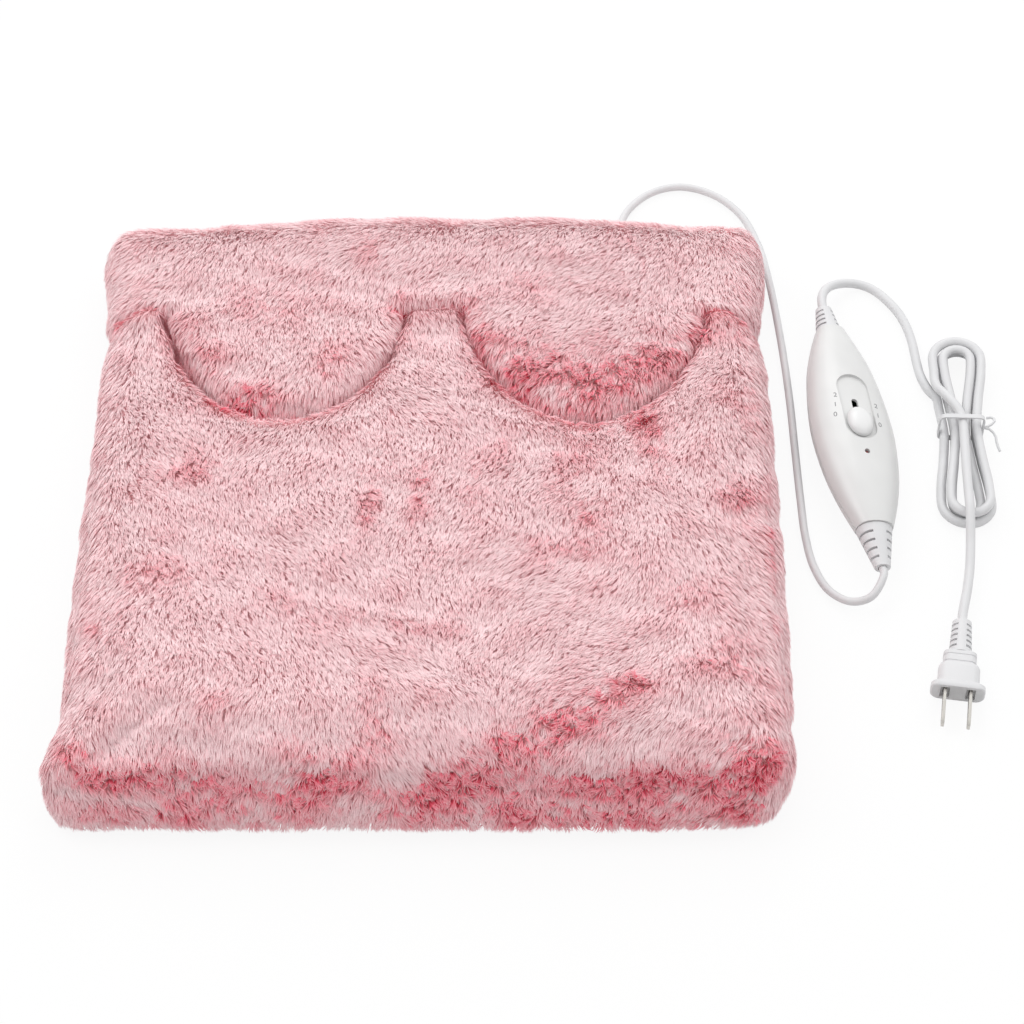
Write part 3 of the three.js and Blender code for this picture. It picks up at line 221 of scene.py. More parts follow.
def soft_lamp(name, place, size, watts):
    lamp = bpy.data.lights.new(name, "AREA")
    lamp.shape = "SQUARE"
    lamp.size = size
    lamp.energy = watts
    made = linked(name, lamp)
    made.location = place
    made.rotation_euler = (LAMP_TARGET - Vector(place)).to_track_quat("-Z", "Y").to_euler()


soft_lamp("key_lamp", (-0.9, 0.35, 1.5), 1.0, 7)
soft_lamp("fill_lamp", (1.2, -0.2, 1.4), 1.2, 3)
soft_lamp("rear_lamp", (0.2, 1.3, 1.3), 0.9, 5)
print("three lamps and a sky")

# %% [markdown]
# The pad has two soft forms: the upper panel, with its padding and lining sewn in one, and the
# base, with the heel band and its two lobes. Each starts as a copy of its solids, is remeshed in
# even squares, and is blown up a little as cloth, so that it swells between its seams as stuffed
# plush does. The hems and the seam are pinned, and no point may move far, so each form stays in
# the place of its solids.

# %% Copies of solids, and cloth
CLOTH_FRAMES = 18


def merged_copy(name, *nodes):
    """One mesh from the nodes, with their loose triangles joined up."""
    work = bmesh.new()
    for node in nodes:
        work.from_mesh(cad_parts[node].data)
    bmesh.ops.remove_doubles(work, verts=work.verts, dist=0.004 * MM)
    mesh = bpy.data.meshes.new(name)
    work.to_mesh(mesh)
    work.free()
    return linked(name, mesh)


def settled(made):
    """Applies what the modifiers give, and clears them."""
    graph = bpy.context.evaluated_depsgraph_get()
    mesh = bpy.data.meshes.new_from_object(made.evaluated_get(graph))
    made.modifiers.clear()
    old, made.data = made.data, mesh
    bpy.data.meshes.remove(old)
    mesh.name = made.name


def even_squares(made, size):
    remesh = made.modifiers.new("even_squares", "REMESH")
    remesh.mode = "VOXEL"
    remesh.voxel_size = size
    settled(made)


def points_of(mesh):
    flat = np.empty(len(mesh.vertices) * 3)
    mesh.vertices.foreach_get("co", flat)
    return flat.reshape(-1, 3)


def normals_of(mesh):
    flat = np.empty(len(mesh.vertices) * 3, np.float32)
    mesh.vertices.foreach_get("normal", flat)
    return flat.reshape(-1, 3).astype(float)


def put_points(mesh, points):
    mesh.vertices.foreach_set("co", points.ravel())
    mesh.update()


def blown_up(made, pinned, pressure, furthest):
    """Swells a closed form as cloth. furthest is how far each point may move."""
    start = points_of(made.data)
    group = made.vertex_groups.new(name="pinned")
    group.add([int(i) for i in np.flatnonzero(pinned)], 1.0, "REPLACE")
    cloth = made.modifiers.new("stuffing", "CLOTH")
    cloth.settings.vertex_group_mass = "pinned"
    cloth.settings.use_pressure = True
    cloth.settings.uniform_pressure_force = pressure
    cloth.settings.quality = 4
    cloth.settings.effector_weights.gravity = 0
    scene = bpy.context.scene
    for step in range(1, CLOTH_FRAMES + 1):
        scene.frame_set(step)
    settled(made)
    scene.frame_set(1)
    made.vertex_groups.clear()
    moved = points_of(made.data) - start
    reach = np.linalg.norm(moved, axis=1)
    share = np.minimum(1, furthest / np.maximum(reach, 1e-9))
    put_points(made.data, start + moved * share[:, None])
    print(made.name, "swelled by up to", round(float((reach * share).max()) / MM, 1), "mm")


print("copies and cloth ready")


# %% [markdown]
# Plush never lies quite even, so a few smooth random fields bend the forms and comb the pile.
# Each is a sum of plane waves, which costs nothing, has no seams and comes out the same each run.


# %% Smooth random fields
class Field:
    """A smooth random field over the pad, from about -1 to 1, with swells about scale wide."""

    def __init__(self, seed, scale, waves=9):
        rng = np.random.default_rng(seed)
        turn = rng.random(waves) * 2 * math.pi
        pitch = 2 * math.pi / (scale * (0.7 + 1.1 * rng.random(waves)))
        self.kx, self.ky = np.cos(turn) * pitch, np.sin(turn) * pitch
        self.phase = rng.random(waves) * 2 * math.pi
        self.scale = math.sqrt(2 / waves)

    def __call__(self, points):
        # some height is mixed in, so that the pattern goes on down the sides
        x = points[:, 0] + 0.6 * points[:, 2]
        y = points[:, 1] + 0.8 * points[:, 2]
        total = sum(np.sin(a * x + b * y + c) for a, b, c in zip(self.kx, self.ky, self.phase))
        return total * self.scale


def bell(value, width):
    """1 at zero, falling smoothly to nothing some way past width."""
    return np.exp(-((value / width) ** 2))


swell = Field(3, 90 * MM)
ripple = Field(4, 34 * MM)
print("fields ready")

# %% [markdown]
# The seam runs straight across the pad, and in front of it the panel is cut out in two scoops.
# Each scoop is close to an ellipse with squared shoulders, and the lobe in it has the same shape,
# a few millimetres smaller. These sizes are the model's own.

# %% Scoops and seam
SEAM_Y = 110 * MM
SCOOP_AWAY = 79.5 * MM
SCOOP_HALF, SCOOP_DEPTH = 62.5 * MM, 67 * MM
LOBE_HALF, LOBE_DEPTH = 56.5 * MM, 61 * MM
SQUARED = 2.2  # 2 would be a true ellipse
PAD_SHIFT = 3.5 * MM  # the photographed pad lies this much further right than the solids
PANEL_NODES = ("upper_cover", "upper_wadding", "pocket_lining")


def past_oval(points, half, depth):
    """Distance outside an oval about each scoop's middle, about right near its edge."""
    across = np.abs(np.abs(points[:, 0]) - SCOOP_AWAY) / half
    down = np.maximum(SEAM_Y - points[:, 1], 0) / depth
    return ((across**SQUARED + down**SQUARED) ** (1 / SQUARED) - 1) * half


def inside_scoop(points):
    """How far a point's x lies within the width of a scoop, or 0 beside it."""
    return np.maximum(LOBE_HALF + 4 * MM - np.abs(np.abs(points[:, 0]) - SCOOP_AWAY), 0)


def beside_seam(points):
    """Distance from the straight stretches of the seam."""
    return np.hypot(3 * inside_scoop(points), points[:, 1] - SEAM_Y - 0.3 * MM)


# Pushes: x, y, reach along x, reach along y, and how far the plush goes in x, y and z
PUSHES = [
    (-174, -178, 20, 26, -10, -3, 0), (18, 172, 125, 34, 0, 0, 7.5), (172, 166, 22, 30, 3, 2, 4),
    (-172, 40, 20, 60, 1.5, 0, 0), (-170, 170, 18, 22, -5, 1, 1), (172, 120, 20, 30, -2, 0, 0),
    (-79.5, 42, 52, 32, 0, -9, 0), (79.5, 42, 52, 32, 0, -9, 0), (170, -187, 16, 14, -4, 2, 0),
]


def hand_made(points, upright, amount):
    """The unevenness of sewn plush: hills, a fold, pushes and sides pinched at the seam.

    upright is how far each point faces up, from 0 to 1, and amount is the height of the hills.
    """
    x, y, z = points.T.copy()
    above = np.clip((z - 26 * MM) / (8 * MM), 0, 1)
    valley = bell(y - SEAM_Y - 1 * MM, 8 * MM) * bell(inside_scoop(points), 4 * MM)
    # hills, calmer on the heel band
    calm = 1 - 0.6 * np.clip((y - 130 * MM) / (25 * MM), 0, 1)
    hills = 1.2 * swell(points) + 0.3 * ripple(points)
    points[:, 2] += amount * MM * hills * calm * upright
    # a shallow fold left of the middle
    fold = bell(y + 92 * MM + 0.17 * x, 5 * MM) * bell(x + 22 * MM, 48 * MM)
    points[:, 2] -= 1.2 * MM * fold * upright
    for px, py, wide, long, dx, dy, dz in PUSHES:
        share = bell(x - px * MM, wide * MM) * bell(y - py * MM, long * MM) * MM
        held = above if dy < -4 else 1  # the strongest move only what lies above
        points[:, 0] += dx * share * held
        points[:, 1] += dy * share * held
        points[:, 2] += dz * share * upright
    # the ends of the scoops flare, and the sides of the pad are pinched at the seam
    ends = bell(np.abs(np.abs(x) - SCOOP_AWAY) - 60 * MM, 9 * MM) * bell(y - 106 * MM, 9 * MM)
    points[:, 0] += 5 * MM * ends * above * np.sign(x) * np.sign(np.abs(x) - SCOOP_AWAY)
    pinch = bell(y - SEAM_Y, 9 * MM) * np.clip((np.abs(x) - 140 * MM) / (30 * MM), 0, 1)
    points[:, 0] -= np.sign(x) * 3.2 * MM * pinch
    # the solids' valley along the seam is partly filled, and the front and rear bulge
    points[:, 2] += 8 * MM * valley * above
    front = np.clip((-140 * MM - y) / (35 * MM), 0, 1) * bell(z - 4 * MM, 18 * MM)
    points[:, 1] -= 6.5 * MM * front
    rear = np.clip((y - 145 * MM) / (30 * MM), 0, 1) * np.clip((z - 14 * MM) / (18 * MM), 0, 1)
    points[:, 1] += 4 * MM * rear * bell(x - 18 * MM, 130 * MM)
    points[:, 0] += PAD_SHIFT
    return points


print("pushes by hand", len(PUSHES))

# %% Swollen panel
VOXEL = 3.6 * MM
panel = merged_copy("plush_panel", *PANEL_NODES)
even_squares(panel, VOXEL)
spots, facing = points_of(panel.data), normals_of(panel.data)
hem = spots[:, 2] < 6 * MM
rim = past_oval(spots, SCOOP_HALF, SCOOP_DEPTH) < 5 * MM
sewn = (spots[:, 1] > SEAM_Y - 4 * MM) & (beside_seam(spots) < 5 * MM)
limit = np.where(facing[:, 2] < -0.2, 1.2, 2.4) * MM
blown_up(panel, hem | sewn | (rim & (spots[:, 1] > 30 * MM)), 3.0, limit)
spots, facing = points_of(panel.data), normals_of(panel.data)
upright = np.clip(facing[:, 2], 0, 1) * np.clip((spots[:, 2] - 25 * MM) / (15 * MM), 0, 1)
panel_flat = spots.copy()  # before the pushes, so that the seam and the scoops are still true
spots = hand_made(spots, upright, 1.0)
# towards the seam the panel rises and meets the heel band
spots[:, 2] += 4 * MM * bell(panel_flat[:, 1] - 99 * MM, 14 * MM) * upright
spots[:, 2] += 3.5 * MM * bell(panel_flat[:, 1] - 107 * MM, 7 * MM) * upright
spots[:, 1] += 3 * MM * bell(panel_flat[:, 1] - SEAM_Y, 6 * MM)
put_points(panel.data, spots)
print("panel faces", len(panel.data.polygons))

# %% Swollen base
base = merged_copy("plush_base", "base_plush")
# a block in the hollow of the base, so that the remesh gives one closed form
filler = bmesh.new()
low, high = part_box("base_padding")
bmesh.ops.create_cube(filler, size=1)
room = Vector((high.x - low.x + 3 * MM, high.y - low.y + 3 * MM, 15.5 * MM))
bmesh.ops.scale(filler, vec=room, verts=filler.verts)
bmesh.ops.translate(filler, vec=(0, 0, 2.3 * MM + room.z / 2), verts=filler.verts)
filler.from_mesh(base.data)
filler.to_mesh(base.data)
filler.free()
even_squares(base, VOXEL)
spots, facing = points_of(base.data), normals_of(base.data)
sewn = (beside_seam(spots) < 4 * MM) & (spots[:, 2] < 32 * MM)
pocket = (spots[:, 2] < 23.5 * MM) & (spots[:, 1] < SEAM_Y)
blown_up(base, (spots[:, 2] < 6 * MM) | pocket | sewn, 3.5, np.full(len(spots), 3.0 * MM))
spots, facing = points_of(base.data), normals_of(base.data)
upright = np.clip(facing[:, 2], 0, 1) * np.clip((spots[:, 2] - 24 * MM) / (6 * MM), 0, 1)
base_flat = spots.copy()
spots = hand_made(spots, upright, 0.9)
# the edge of each lobe swells outwards, against the rim of its scoop
x, y, z = base_flat.T
above = np.clip((z - 26 * MM) / (6 * MM), 0, 1)
lobe_edge = bell(past_oval(base_flat, LOBE_HALF, LOBE_DEPTH), 9 * MM) * above
lobe_edge *= np.clip((SEAM_Y - y) / (12 * MM), 0, 1)
away = np.stack([np.sign(x) * (np.abs(x) - SCOOP_AWAY), y - SEAM_Y], 1)
away /= np.linalg.norm(away + 1e-9, axis=1, keepdims=True)
spots[:, :2] += 3 * MM * lobe_edge[:, None] * away
# the left lobe stands further off the rim on its outer side
ajar = bell(x + 132 * MM, 18 * MM) * bell(y - 78 * MM, 26 * MM)
spots[:, 0] += 6 * MM * ajar * above
put_points(base.data, spots)
print("base faces", len(base.data.polygons))

# %% [markdown]
# The plush is dyed crimson at its roots, and the tips of the pile are pale. Where the pile lies
# closed, a strand is rose at its root and pale pink above, and where it parts, its lower half is
# crimson. The map of a strand holds its shade across and its length upwards, and the colour is
# read from that map alone. The cloth under the pile is rose, and deeper at the toes: partly its
# crimson dye, and partly painted shade on the front face, low by the floor.

# %% Plush finishes
backing = Finish("plush_backing")
mottle = backing.grain(900, 3)
cloud = backing.grain(28, 2)
rose = backing.mix(mottle, (0.93, 0.5, 0.53), (0.97, 0.66, 0.68))
worn = backing.mix((cloud * 1.6 - 0.4).limited(), rose, (0.97, 0.7, 0.72))
forward = backing.node("SeparateXYZ", {}, {0: backing.place()}, 1)
# the cloth deepens towards the toes: partly its crimson dye, partly painted shade on the front face
toes_dye_and_shade = ((forward + 0.168) / -0.02).limited() * 0.7
plush_backing = backing.surface(
    Base_Color=backing.mix(toes_dye_and_shade, worn, (0.6, 0.14, 0.19)),
    Roughness=0.95, Sheen_Weight=0.2, Normal=backing.bump(mottle, 0.6, 0.6 * MM),
)

fleece = Finish("pocket_fleece")
knit = fleece.grain(1500, 3)
nap = fleece.grain(260, 3, stretch=(1, 0.5, 1))
fleece_tone = fleece.mix(knit, (0.86, 0.42, 0.46), (0.96, 0.62, 0.65))
pocket_fleece = fleece.surface(
    Base_Color=fleece.mix((nap * 1.4 - 0.3).limited(), fleece_tone, (0.97, 0.7, 0.72)),
    Roughness=0.95, Sheen_Weight=0.5, Normal=fleece.bump(knit * 0.6 + nap, 0.8, 1.0 * MM),
)

strand = Finish("plush_pile")
strand_map = strand.node("UVMap", {"uv_map": "OFBake"})
shade = strand.node("SeparateXYZ", {}, {0: strand_map}, 0)
along = strand.node("SeparateXYZ", {}, {0: strand_map}, 1)
PALE = [
    (0, (0.96, 0.65, 0.68)), (0.3, (0.96, 0.69, 0.71)), (0.65, (0.95, 0.71, 0.73)),
    (1, (0.94, 0.75, 0.76)),
]
DEEP = [
    (0, (0.56, 0.02, 0.05)), (0.5, (0.82, 0.07, 0.13)), (0.8, (0.93, 0.34, 0.4)),
    (1, (0.97, 0.72, 0.74)),
]
pale = strand.node("ValToRGB", {"stops": PALE}, [along])
deep = strand.node("ValToRGB", {"stops": DEEP}, [along])
plush_pile = strand.surface(
    Base_Color=strand.mix(shade, pale, deep), Roughness=0.8, Sheen_Weight=0.6, Sheen_Roughness=0.4,
    # the faint emission in the strands' own colours is painted light: a glow that stands in for
    # light passing through the thin strands
    Emission_Color=strand.mix(shade, pale, deep), Emission_Strength=0.04,
)
print("plush finishes", plush_backing.name, plush_pile.name)

# %% [markdown]
# The pile is made of strands: narrow blades that rise from the cloth, bend over and come to a
# point. One blade is made here with operators, and its copies are placed in one step as arrays,
# because there are more than three hundred thousand of them. They gather into tufts that lean the
# way the plush was last stroked, and where it parts they stand up, so that the red shows.

# %% One blade of pile
BLADE_ROWS = 3
blade = bmesh.new()
bmesh.ops.create_grid(blade, x_segments=1, y_segments=BLADE_ROWS, size=0.5)
bmesh.ops.translate(blade, vec=(0, 0.5, 0), verts=blade.verts)
for point in blade.verts:
    point.co.x *= math.sqrt(1 - point.co.y) if point.co.y > 0.01 else 0.8
bmesh.ops.remove_doubles(blade, verts=blade.verts, dist=0.001)
bmesh.ops.triangulate(blade, faces=blade.faces)
blade.verts.ensure_lookup_table()
BLADE_ACROSS = np.array([point.co.x for point in blade.verts])
BLADE_ALONG = np.array([point.co.y for point in blade.verts])
BLADE_FACES = np.array([[corner.index for corner in face.verts] for face in blade.faces])
blade.free()
print("blade of", len(BLADE_ALONG), "points and", len(BLADE_FACES), "faces")

# %% Sizes and fields of the pile
SHARE = 1.0
DENSITY = 1.75e6 * SHARE  # strands to the square metre
PIECE_STRANDS = 39000  # of five faces each
TUFT_STRANDS, CLUMP_STRANDS = 5, 30  # strands in a usual tuft and clump
PILE_HEIGHT, PILE_REACH = 2.6, 5.8  # how far a strand rises and leans, in millimetres
PARTED_HEIGHT, PARTED_REACH = 1.4, -2.6  # what is added to both where the pile parts
PILE_STARTS, LOWEST = 3.5 * MM, 0.4 * MM  # where the lowest roots are, and the lowest tips
combed = Field(11, 130 * MM)
stroked = Field(12, 42 * MM)
ruffled = Field(13, 10 * MM)
blotched = Field(14, 22 * MM)
speckled = Field(15, 6 * MM)
print("pile of", round(DENSITY * MM * MM, 2), "strands to the square millimetre")

# %% [markdown]
# Partings are placed as a hand would rub them, on the plush laid flat: over an edge of the pad,
# the way down its side goes on outwards, as it does when a dressmaker unrolls a shape. Low on the
# front face and along the fold left of the middle, they are partly painted shade.

# %% Where the pile parts
# Partings, rubbed places and painted shade: x, y, half length, half width, direction in degrees,
# strength
PARTINGS_AND_SHADE = [
    # the upper panel
    (-128, -66, 15, 15, 0, 0.27), (-119, 0, 18, 13, 30, 0.32), (-27, -26, 16, 5, 78, 0.42),
    (-1, -13, 21, 6, 86, 0.34), (95, 30, 26, 6, 0, 0.45), (118, 22, 8, 22, 0, 0.42),
    (77, 3, 14, 22, 0, 0.28), (85, -34, 9, 9, 0, 0.35), (76, -55, 24, 8, -12, 0.28),
    (28, -3, 7, 22, 0, 0.24), (40, 16, 5, 13, 0, 0.2), (158, -15, 12, 14, 0, 0.38),
    # the thin ones at -16, -100 and -63, -88 lie along the fold, and are partly painted shade in it
    (150, -121, 16, 14, 0, 0.34), (131, -84, 12, 11, 24, 0.24), (-16, -100, 40, 5, -4, 0.25),
    (-63, -88, 15, 5, -30, 0.2), (-156, -98, 12, 7, 46, 0.3), (-95, -138, 8, 12, 0, 0.22),
    (-21, -156, 10, 20, 0, 0.25), (164, 51, 13, 14, 0, 0.3), (178, -50, 50, 5, 88, 0.4),
    # the lobes and the heel band
    (-91, 50, 12, 9, 0, 0.7), (-89, 44, 34, 8, 0, 0.4), (-49, 78, 18, 8, 82, 0.36),
    (-83, 112, 30, 16, 7, 0.2), (-115, 83, 20, 9, -62, 0.3), (49, 64, 20, 12, -32, 0.55),
    (85, 60, 24, 14, 0, 0.6), (114, 76, 22, 13, 32, 0.55), (60, 80, 30, 14, -20, 0.25),
    (144, 100, 15, 8, 58, 0.45), (31, 86, 16, 7, -72, 0.4), (168, 104, 13, 9, 0, 0.3),
    (-15, 116, 11, 5, 50, 0.4), (21, 114, 7, 9, 0, 0.3), (-30, 150, 7, 9, 0, 0.2),
    (113, 148, 21, 2, -71, 0.25), (55, 125, 16, 9, 0, 0.25), (-162, 112, 10, 4, 0, 0.4),
    # the diagonal parting towards the toes
    (100, -139, 17, 8, 35, 0.5), (75, -154, 22, 9, 26, 0.7), (44, -171, 22, 11, 35, 0.65),
    (16, -184, 18, 12, 29, 0.75),
    # the front face and its corners: partly crimson partings, partly painted shade that deepens the
    # face towards the floor, most in the two long low bands
    (-163, -170, 14, 8, 0, 0.5), (-144, -183, 30, 8, 0, 0.85), (-112, -181, 18, 9, 0, 0.9),
    (-44, -176, 16, 11, 0, 0.6), (-60, -188, 34, 10, 0, 0.6), (-101, -208, 72, 14, 0, 0.5),
    (18, -200, 32, 13, 0, 0.65), (90, -188, 34, 11, 0, 0.75), (130, -184, 30, 12, 0, 0.8),
    (157, -190, 13, 20, 0, 0.8), (165, -172, 14, 16, 0, 0.6), (89, -212, 70, 15, 0, 0.6),
]
FOLD_HEIGHT = 42 * MM


def unrolled(points):
    """The x and y of points on the plush laid flat: the sides of the pad go on outwards."""
    x, y, z = points.T
    drop = np.maximum(FOLD_HEIGHT - z, 0)
    x = x + np.sign(x) * drop * np.clip((np.abs(x) - 160 * MM) / (12 * MM), 0, 1)
    y = y + np.sign(y) * drop * np.clip((np.abs(y) - 160 * MM) / (12 * MM), 0, 1)
    return x, y


def parted_and_shaded(points):
    """How far the pile parts at each point, from 0 to 1, with painted shade on the front face and
    along the fold included.
    """
    total = np.zeros(len(points))
    flat_x, flat_y = unrolled(points)
    for x, y, long, wide, turn, strength in PARTINGS_AND_SHADE:
        dx, dy = flat_x / MM - x, flat_y / MM - y
        cos, sin = math.cos(math.radians(turn)), math.sin(math.radians(turn))
        far = ((dx * cos + dy * sin) / long) ** 2 + ((dy * cos - dx * sin) / wide) ** 2
        total += strength * np.exp(-far)
    return np.clip(total * (1 + 0.25 * blotched(points) + 0.4 * speckled(points)), 0, 1)


print("partings", len(PARTINGS_AND_SHADE))

# %% [markdown]
# A strand needs a root on the cloth, a tuft that it belongs to and a way to lean. The roots fall
# evenly on the faces that are wanted, the nearest middle makes the tuft, and the lean follows the
# way the plush is combed, hangs down near the floor and turns outwards at the edges.

# %% Roots, tufts and lean
def unit(vectors):
    return vectors / np.maximum(np.linalg.norm(vectors, axis=1, keepdims=True), 1e-9)


def rooted(mesh, flat, wanted, density, rng):
    """Even random roots on the wanted faces. density is per square metre.

    Each root has its place, its place before the pushes, and its normal.
    """
    mesh.calc_loop_triangles()
    corners = np.empty(len(mesh.loop_triangles) * 3, np.int32)
    mesh.loop_triangles.foreach_get("vertices", corners)
    corners = corners.reshape(-1, 3)
    spots, facing = points_of(mesh), normals_of(mesh)
    corners = corners[wanted(flat[corners].mean(1), facing[corners].mean(1))]
    a, b, c = (spots[corners[:, k]] for k in range(3))
    area = np.linalg.norm(np.cross(b - a, c - a), axis=1) / 2
    count = int(area.sum() * density)
    picked = rng.choice(len(area), count, p=area / area.sum())
    u, v = rng.random((2, count, 1))
    u, v = np.where(u + v > 1, 1 - u, u), np.where(u + v > 1, 1 - v, v)
    shares = list(enumerate((1 - u - v, u, v)))
    roots, before, normal = (
        sum(share * values[corners[picked, k]] for k, share in shares)
        for values in (spots, flat, facing)
    )
    return roots, before, unit(normal)


def tufts_of(places, rng, strands):
    """For each place, the row of the one at the middle of its tuft."""
    middles = np.flatnonzero(rng.random(len(places)) < 1 / strands)
    tree = KDTree(len(middles))
    for row in middles:
        tree.insert(places[row], int(row))
    tree.balance()
    return np.array([tree.find(place)[1] for place in places])


def comb_at(before, normal, turn):
    """The way each strand leans along the surface: about turn, and outwards at the edges."""
    x, y, z = before.T
    hang = -0.3 - 1.6 * np.clip(1 - z / (16 * MM), 0, 1)
    lean = np.stack([np.cos(turn), np.sin(turn), hang], 1)
    lean[:, 1] += 1.5 * np.clip((normal[:, 1] - 0.35) / 0.4, 0, 1)
    lean[:, 0] += np.sign(x) * np.clip((np.abs(x) - 155 * MM) / (15 * MM), 0, 1)
    # outwards over the edge of a lobe too
    lobe = past_oval(before, LOBE_HALF, LOBE_DEPTH)
    nearby = bell(np.minimum(lobe, 0), 9 * MM) * (y < SEAM_Y) * (lobe < 1 * MM)
    out = np.stack([np.sign(x) * (np.abs(x) - SCOOP_AWAY), y - SEAM_Y], 1)
    out = np.concatenate([unit(out), np.zeros((len(before), 1))], 1)
    lean += out * (1.5 * nearby)[:, None]
    lean -= normal * (lean * normal).sum(1, keepdims=True)
    return unit(lean)


def creased(before, half, depth):
    """How near each root is to a seam or to the edge of a scoop, from 0 to 1."""
    edge = bell(past_oval(before, half, depth), 3 * MM) * (before[:, 1] < SEAM_Y + 2 * MM)
    # at the seam the crimson roots show, and the deepening at the scoops' edges is painted shade in
    # the crevice
    return np.maximum(0.9 * bell(beside_seam(before), 3.5 * MM), 0.4 * edge)


print("roots, tufts and lean ready")


# %% Grow strands on a surface
def grow(name, mesh, flat, wanted, oval, seed):
    """Arrays of strand points and their shades for the wanted faces of a mesh.

    flat holds the mesh's points before the pushes, and oval is the size of the oval that
    its edge follows at the scoops.
    """
    rng = np.random.default_rng(seed)
    roots, before, normal = rooted(mesh, flat, wanted, DENSITY, rng)
    count = len(roots)
    crease, gap_and_shade, blot = creased(before, *oval), parted_and_shaded(roots), blotched(roots)
    ajar = gap_and_shade**1.5
    tuft = tufts_of(roots, rng, TUFT_STRANDS)
    clump = tufts_of(roots[tuft], rng, CLUMP_STRANDS)
    # combed towards the toes, and outwards there, with a stray turn for each tuft and strand
    stray = rng.normal(0, 0.14, count)[tuft] + rng.normal(0, 0.14, count)
    swept = np.clip((before[:, 1] - 80 * MM) / (50 * MM), 0, 1)
    turn = -math.pi / 2 - 0.4 * swept - 0.35 * (1 - swept) * before[:, 0] / (175 * MM)
    turn += 0.22 * combed(roots) + 0.14 * stroked(roots)
    turn += stray * (1 + 1.5 * gap_and_shade) + 1.1 * ruffled(roots) * ajar
    lean = comb_at(before, normal, turn)
    # drawn towards the middle of its tuft, and where the pile parts, of its clump
    pull = roots[tuft] - roots
    pull -= 0.4 * lean * (pull * lean).sum(1, keepdims=True)
    pull *= (0.45 + 0.4 * ajar)[:, None]
    wide_pull = roots[tuft][clump] - roots[tuft]
    long = 0.85 + 0.3 * rng.random(count)[tuft] + 0.12 * rng.random(count)
    size = long * (1 - 0.3 * crease)
    height = (PILE_HEIGHT + 0.3 * blot + PARTED_HEIGHT * ajar) * MM * size
    reach = (PILE_REACH + PARTED_REACH * ajar) * MM * size
    width = (0.6 + 0.3 * rng.random(count)) * MM
    roll = rng.normal(0, 0.4, count)[:, None]
    side = np.cross(normal, lean) * np.cos(roll) + normal * np.sin(roll)
    # along t, from root to tip, a strand rises, leans over more and more, and narrows
    t = BLADE_ALONG[None, :, None]
    places = roots[:, None] + normal[:, None] * (height[:, None, None] * t * (1.6 - 0.6 * t))
    places = places + lean[:, None] * (reach[:, None, None] * t**1.8) + pull[:, None] * t**1.3
    places = places + wide_pull[:, None] * (0.45 * ajar[:, None, None] * t**2)
    places = places + side[:, None] * (BLADE_ACROSS[None, :, None] * width[:, None, None])
    places[:, :, 2] = np.maximum(places[:, :, 2], LOWEST)
    # where the pile parts its crimson dye shows, but low on the front face and along the fold this
    # deepening is painted shade
    shade = 0.02 + (0.14 + 0.5 * ajar) * rng.random(count)[tuft] ** 2
    # near the seam this shows the crimson roots, and at the scoops' edges it is painted shade in
    # the crevice
    shade += 0.05 * blot + 0.95 * gap_and_shade + 0.85 * crease
    print(name, "has", count, "strands")
    return places, np.clip(shade, 0.01, 0.95)


def pile_piece(name, places, shade):
    """One object from strand arrays, with the map of its colours."""
    count, size = len(places), len(BLADE_ALONG)
    mesh = bpy.data.meshes.new(name)
    faces = (BLADE_FACES[None] + size * np.arange(count)[:, None, None]).reshape(-1, 3)
    mesh.vertices.add(count * size)
    mesh.vertices.foreach_set("co", places.ravel())
    mesh.loops.add(faces.size)
    mesh.loops.foreach_set("vertex_index", faces.ravel().astype(np.int32))
    mesh.polygons.add(len(faces))
    mesh.polygons.foreach_set("loop_start", np.arange(0, faces.size, 3, dtype=np.int32))
    across = shade[:, None] + 0.02 * BLADE_ACROSS[None] + 0.02
    along = np.broadcast_to(0.01 + 0.98 * BLADE_ALONG[None], across.shape)
    corner = np.stack([across, along], 2).reshape(-1, 2)[faces.ravel()]
    layer = mesh.uv_layers.new(name="OFBake")
    layer.data.foreach_set("uv", corner.ravel().astype(np.float32))
    mesh.update()
    mesh.materials.append(plush_pile)
    made = linked(name, mesh)
    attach(made, "warmer")


print("strands of up to", PILE_HEIGHT + PARTED_HEIGHT, "mm high ready")


# %% Grow the pile
def on_panel(spots, facing):
    """The outer faces of the panel: not its hem, not the inner side of its walls, not below."""
    inwards = (np.abs(spots[:, 0]) > 150 * MM) & (facing[:, 0] * spots[:, 0] < 0)
    forwards = (spots[:, 1] < -150 * MM) & (facing[:, 1] > 0.3)
    hidden = (facing[:, 2] < -0.35) | ((facing[:, 2] < 0.4) & (inwards | forwards))
    return ~hidden & (spots[:, 2] > PILE_STARTS)


def on_base(spots, facing):
    """The heel band and the two lobes, but not the pocket's floor."""
    lobe = past_oval(spots, LOBE_HALF, LOBE_DEPTH)
    behind = spots[:, 1] > SEAM_Y - 3 * MM
    near = (lobe < 8 * MM) & (spots[:, 1] > 40 * MM)
    return (facing[:, 2] > -0.5) & (behind | near) & (spots[:, 2] > PILE_STARTS)


grown = {
    "panel_pile": grow("panel", panel.data, panel_flat, on_panel, (SCOOP_HALF, SCOOP_DEPTH), 21),
    "band_pile": grow("base", base.data, base_flat, on_base, (LOBE_HALF, LOBE_DEPTH), 22),
}
for label, (places, shade) in grown.items():
    order = np.argsort(places[:, 0, 1], kind="stable")
    parts = math.ceil(len(order) / PIECE_STRANDS)
    for number, part in enumerate(np.array_split(order, parts), 1):
        pile_piece(f"{label}_{number}", places[part], shade[part])
print("pile pieces made")

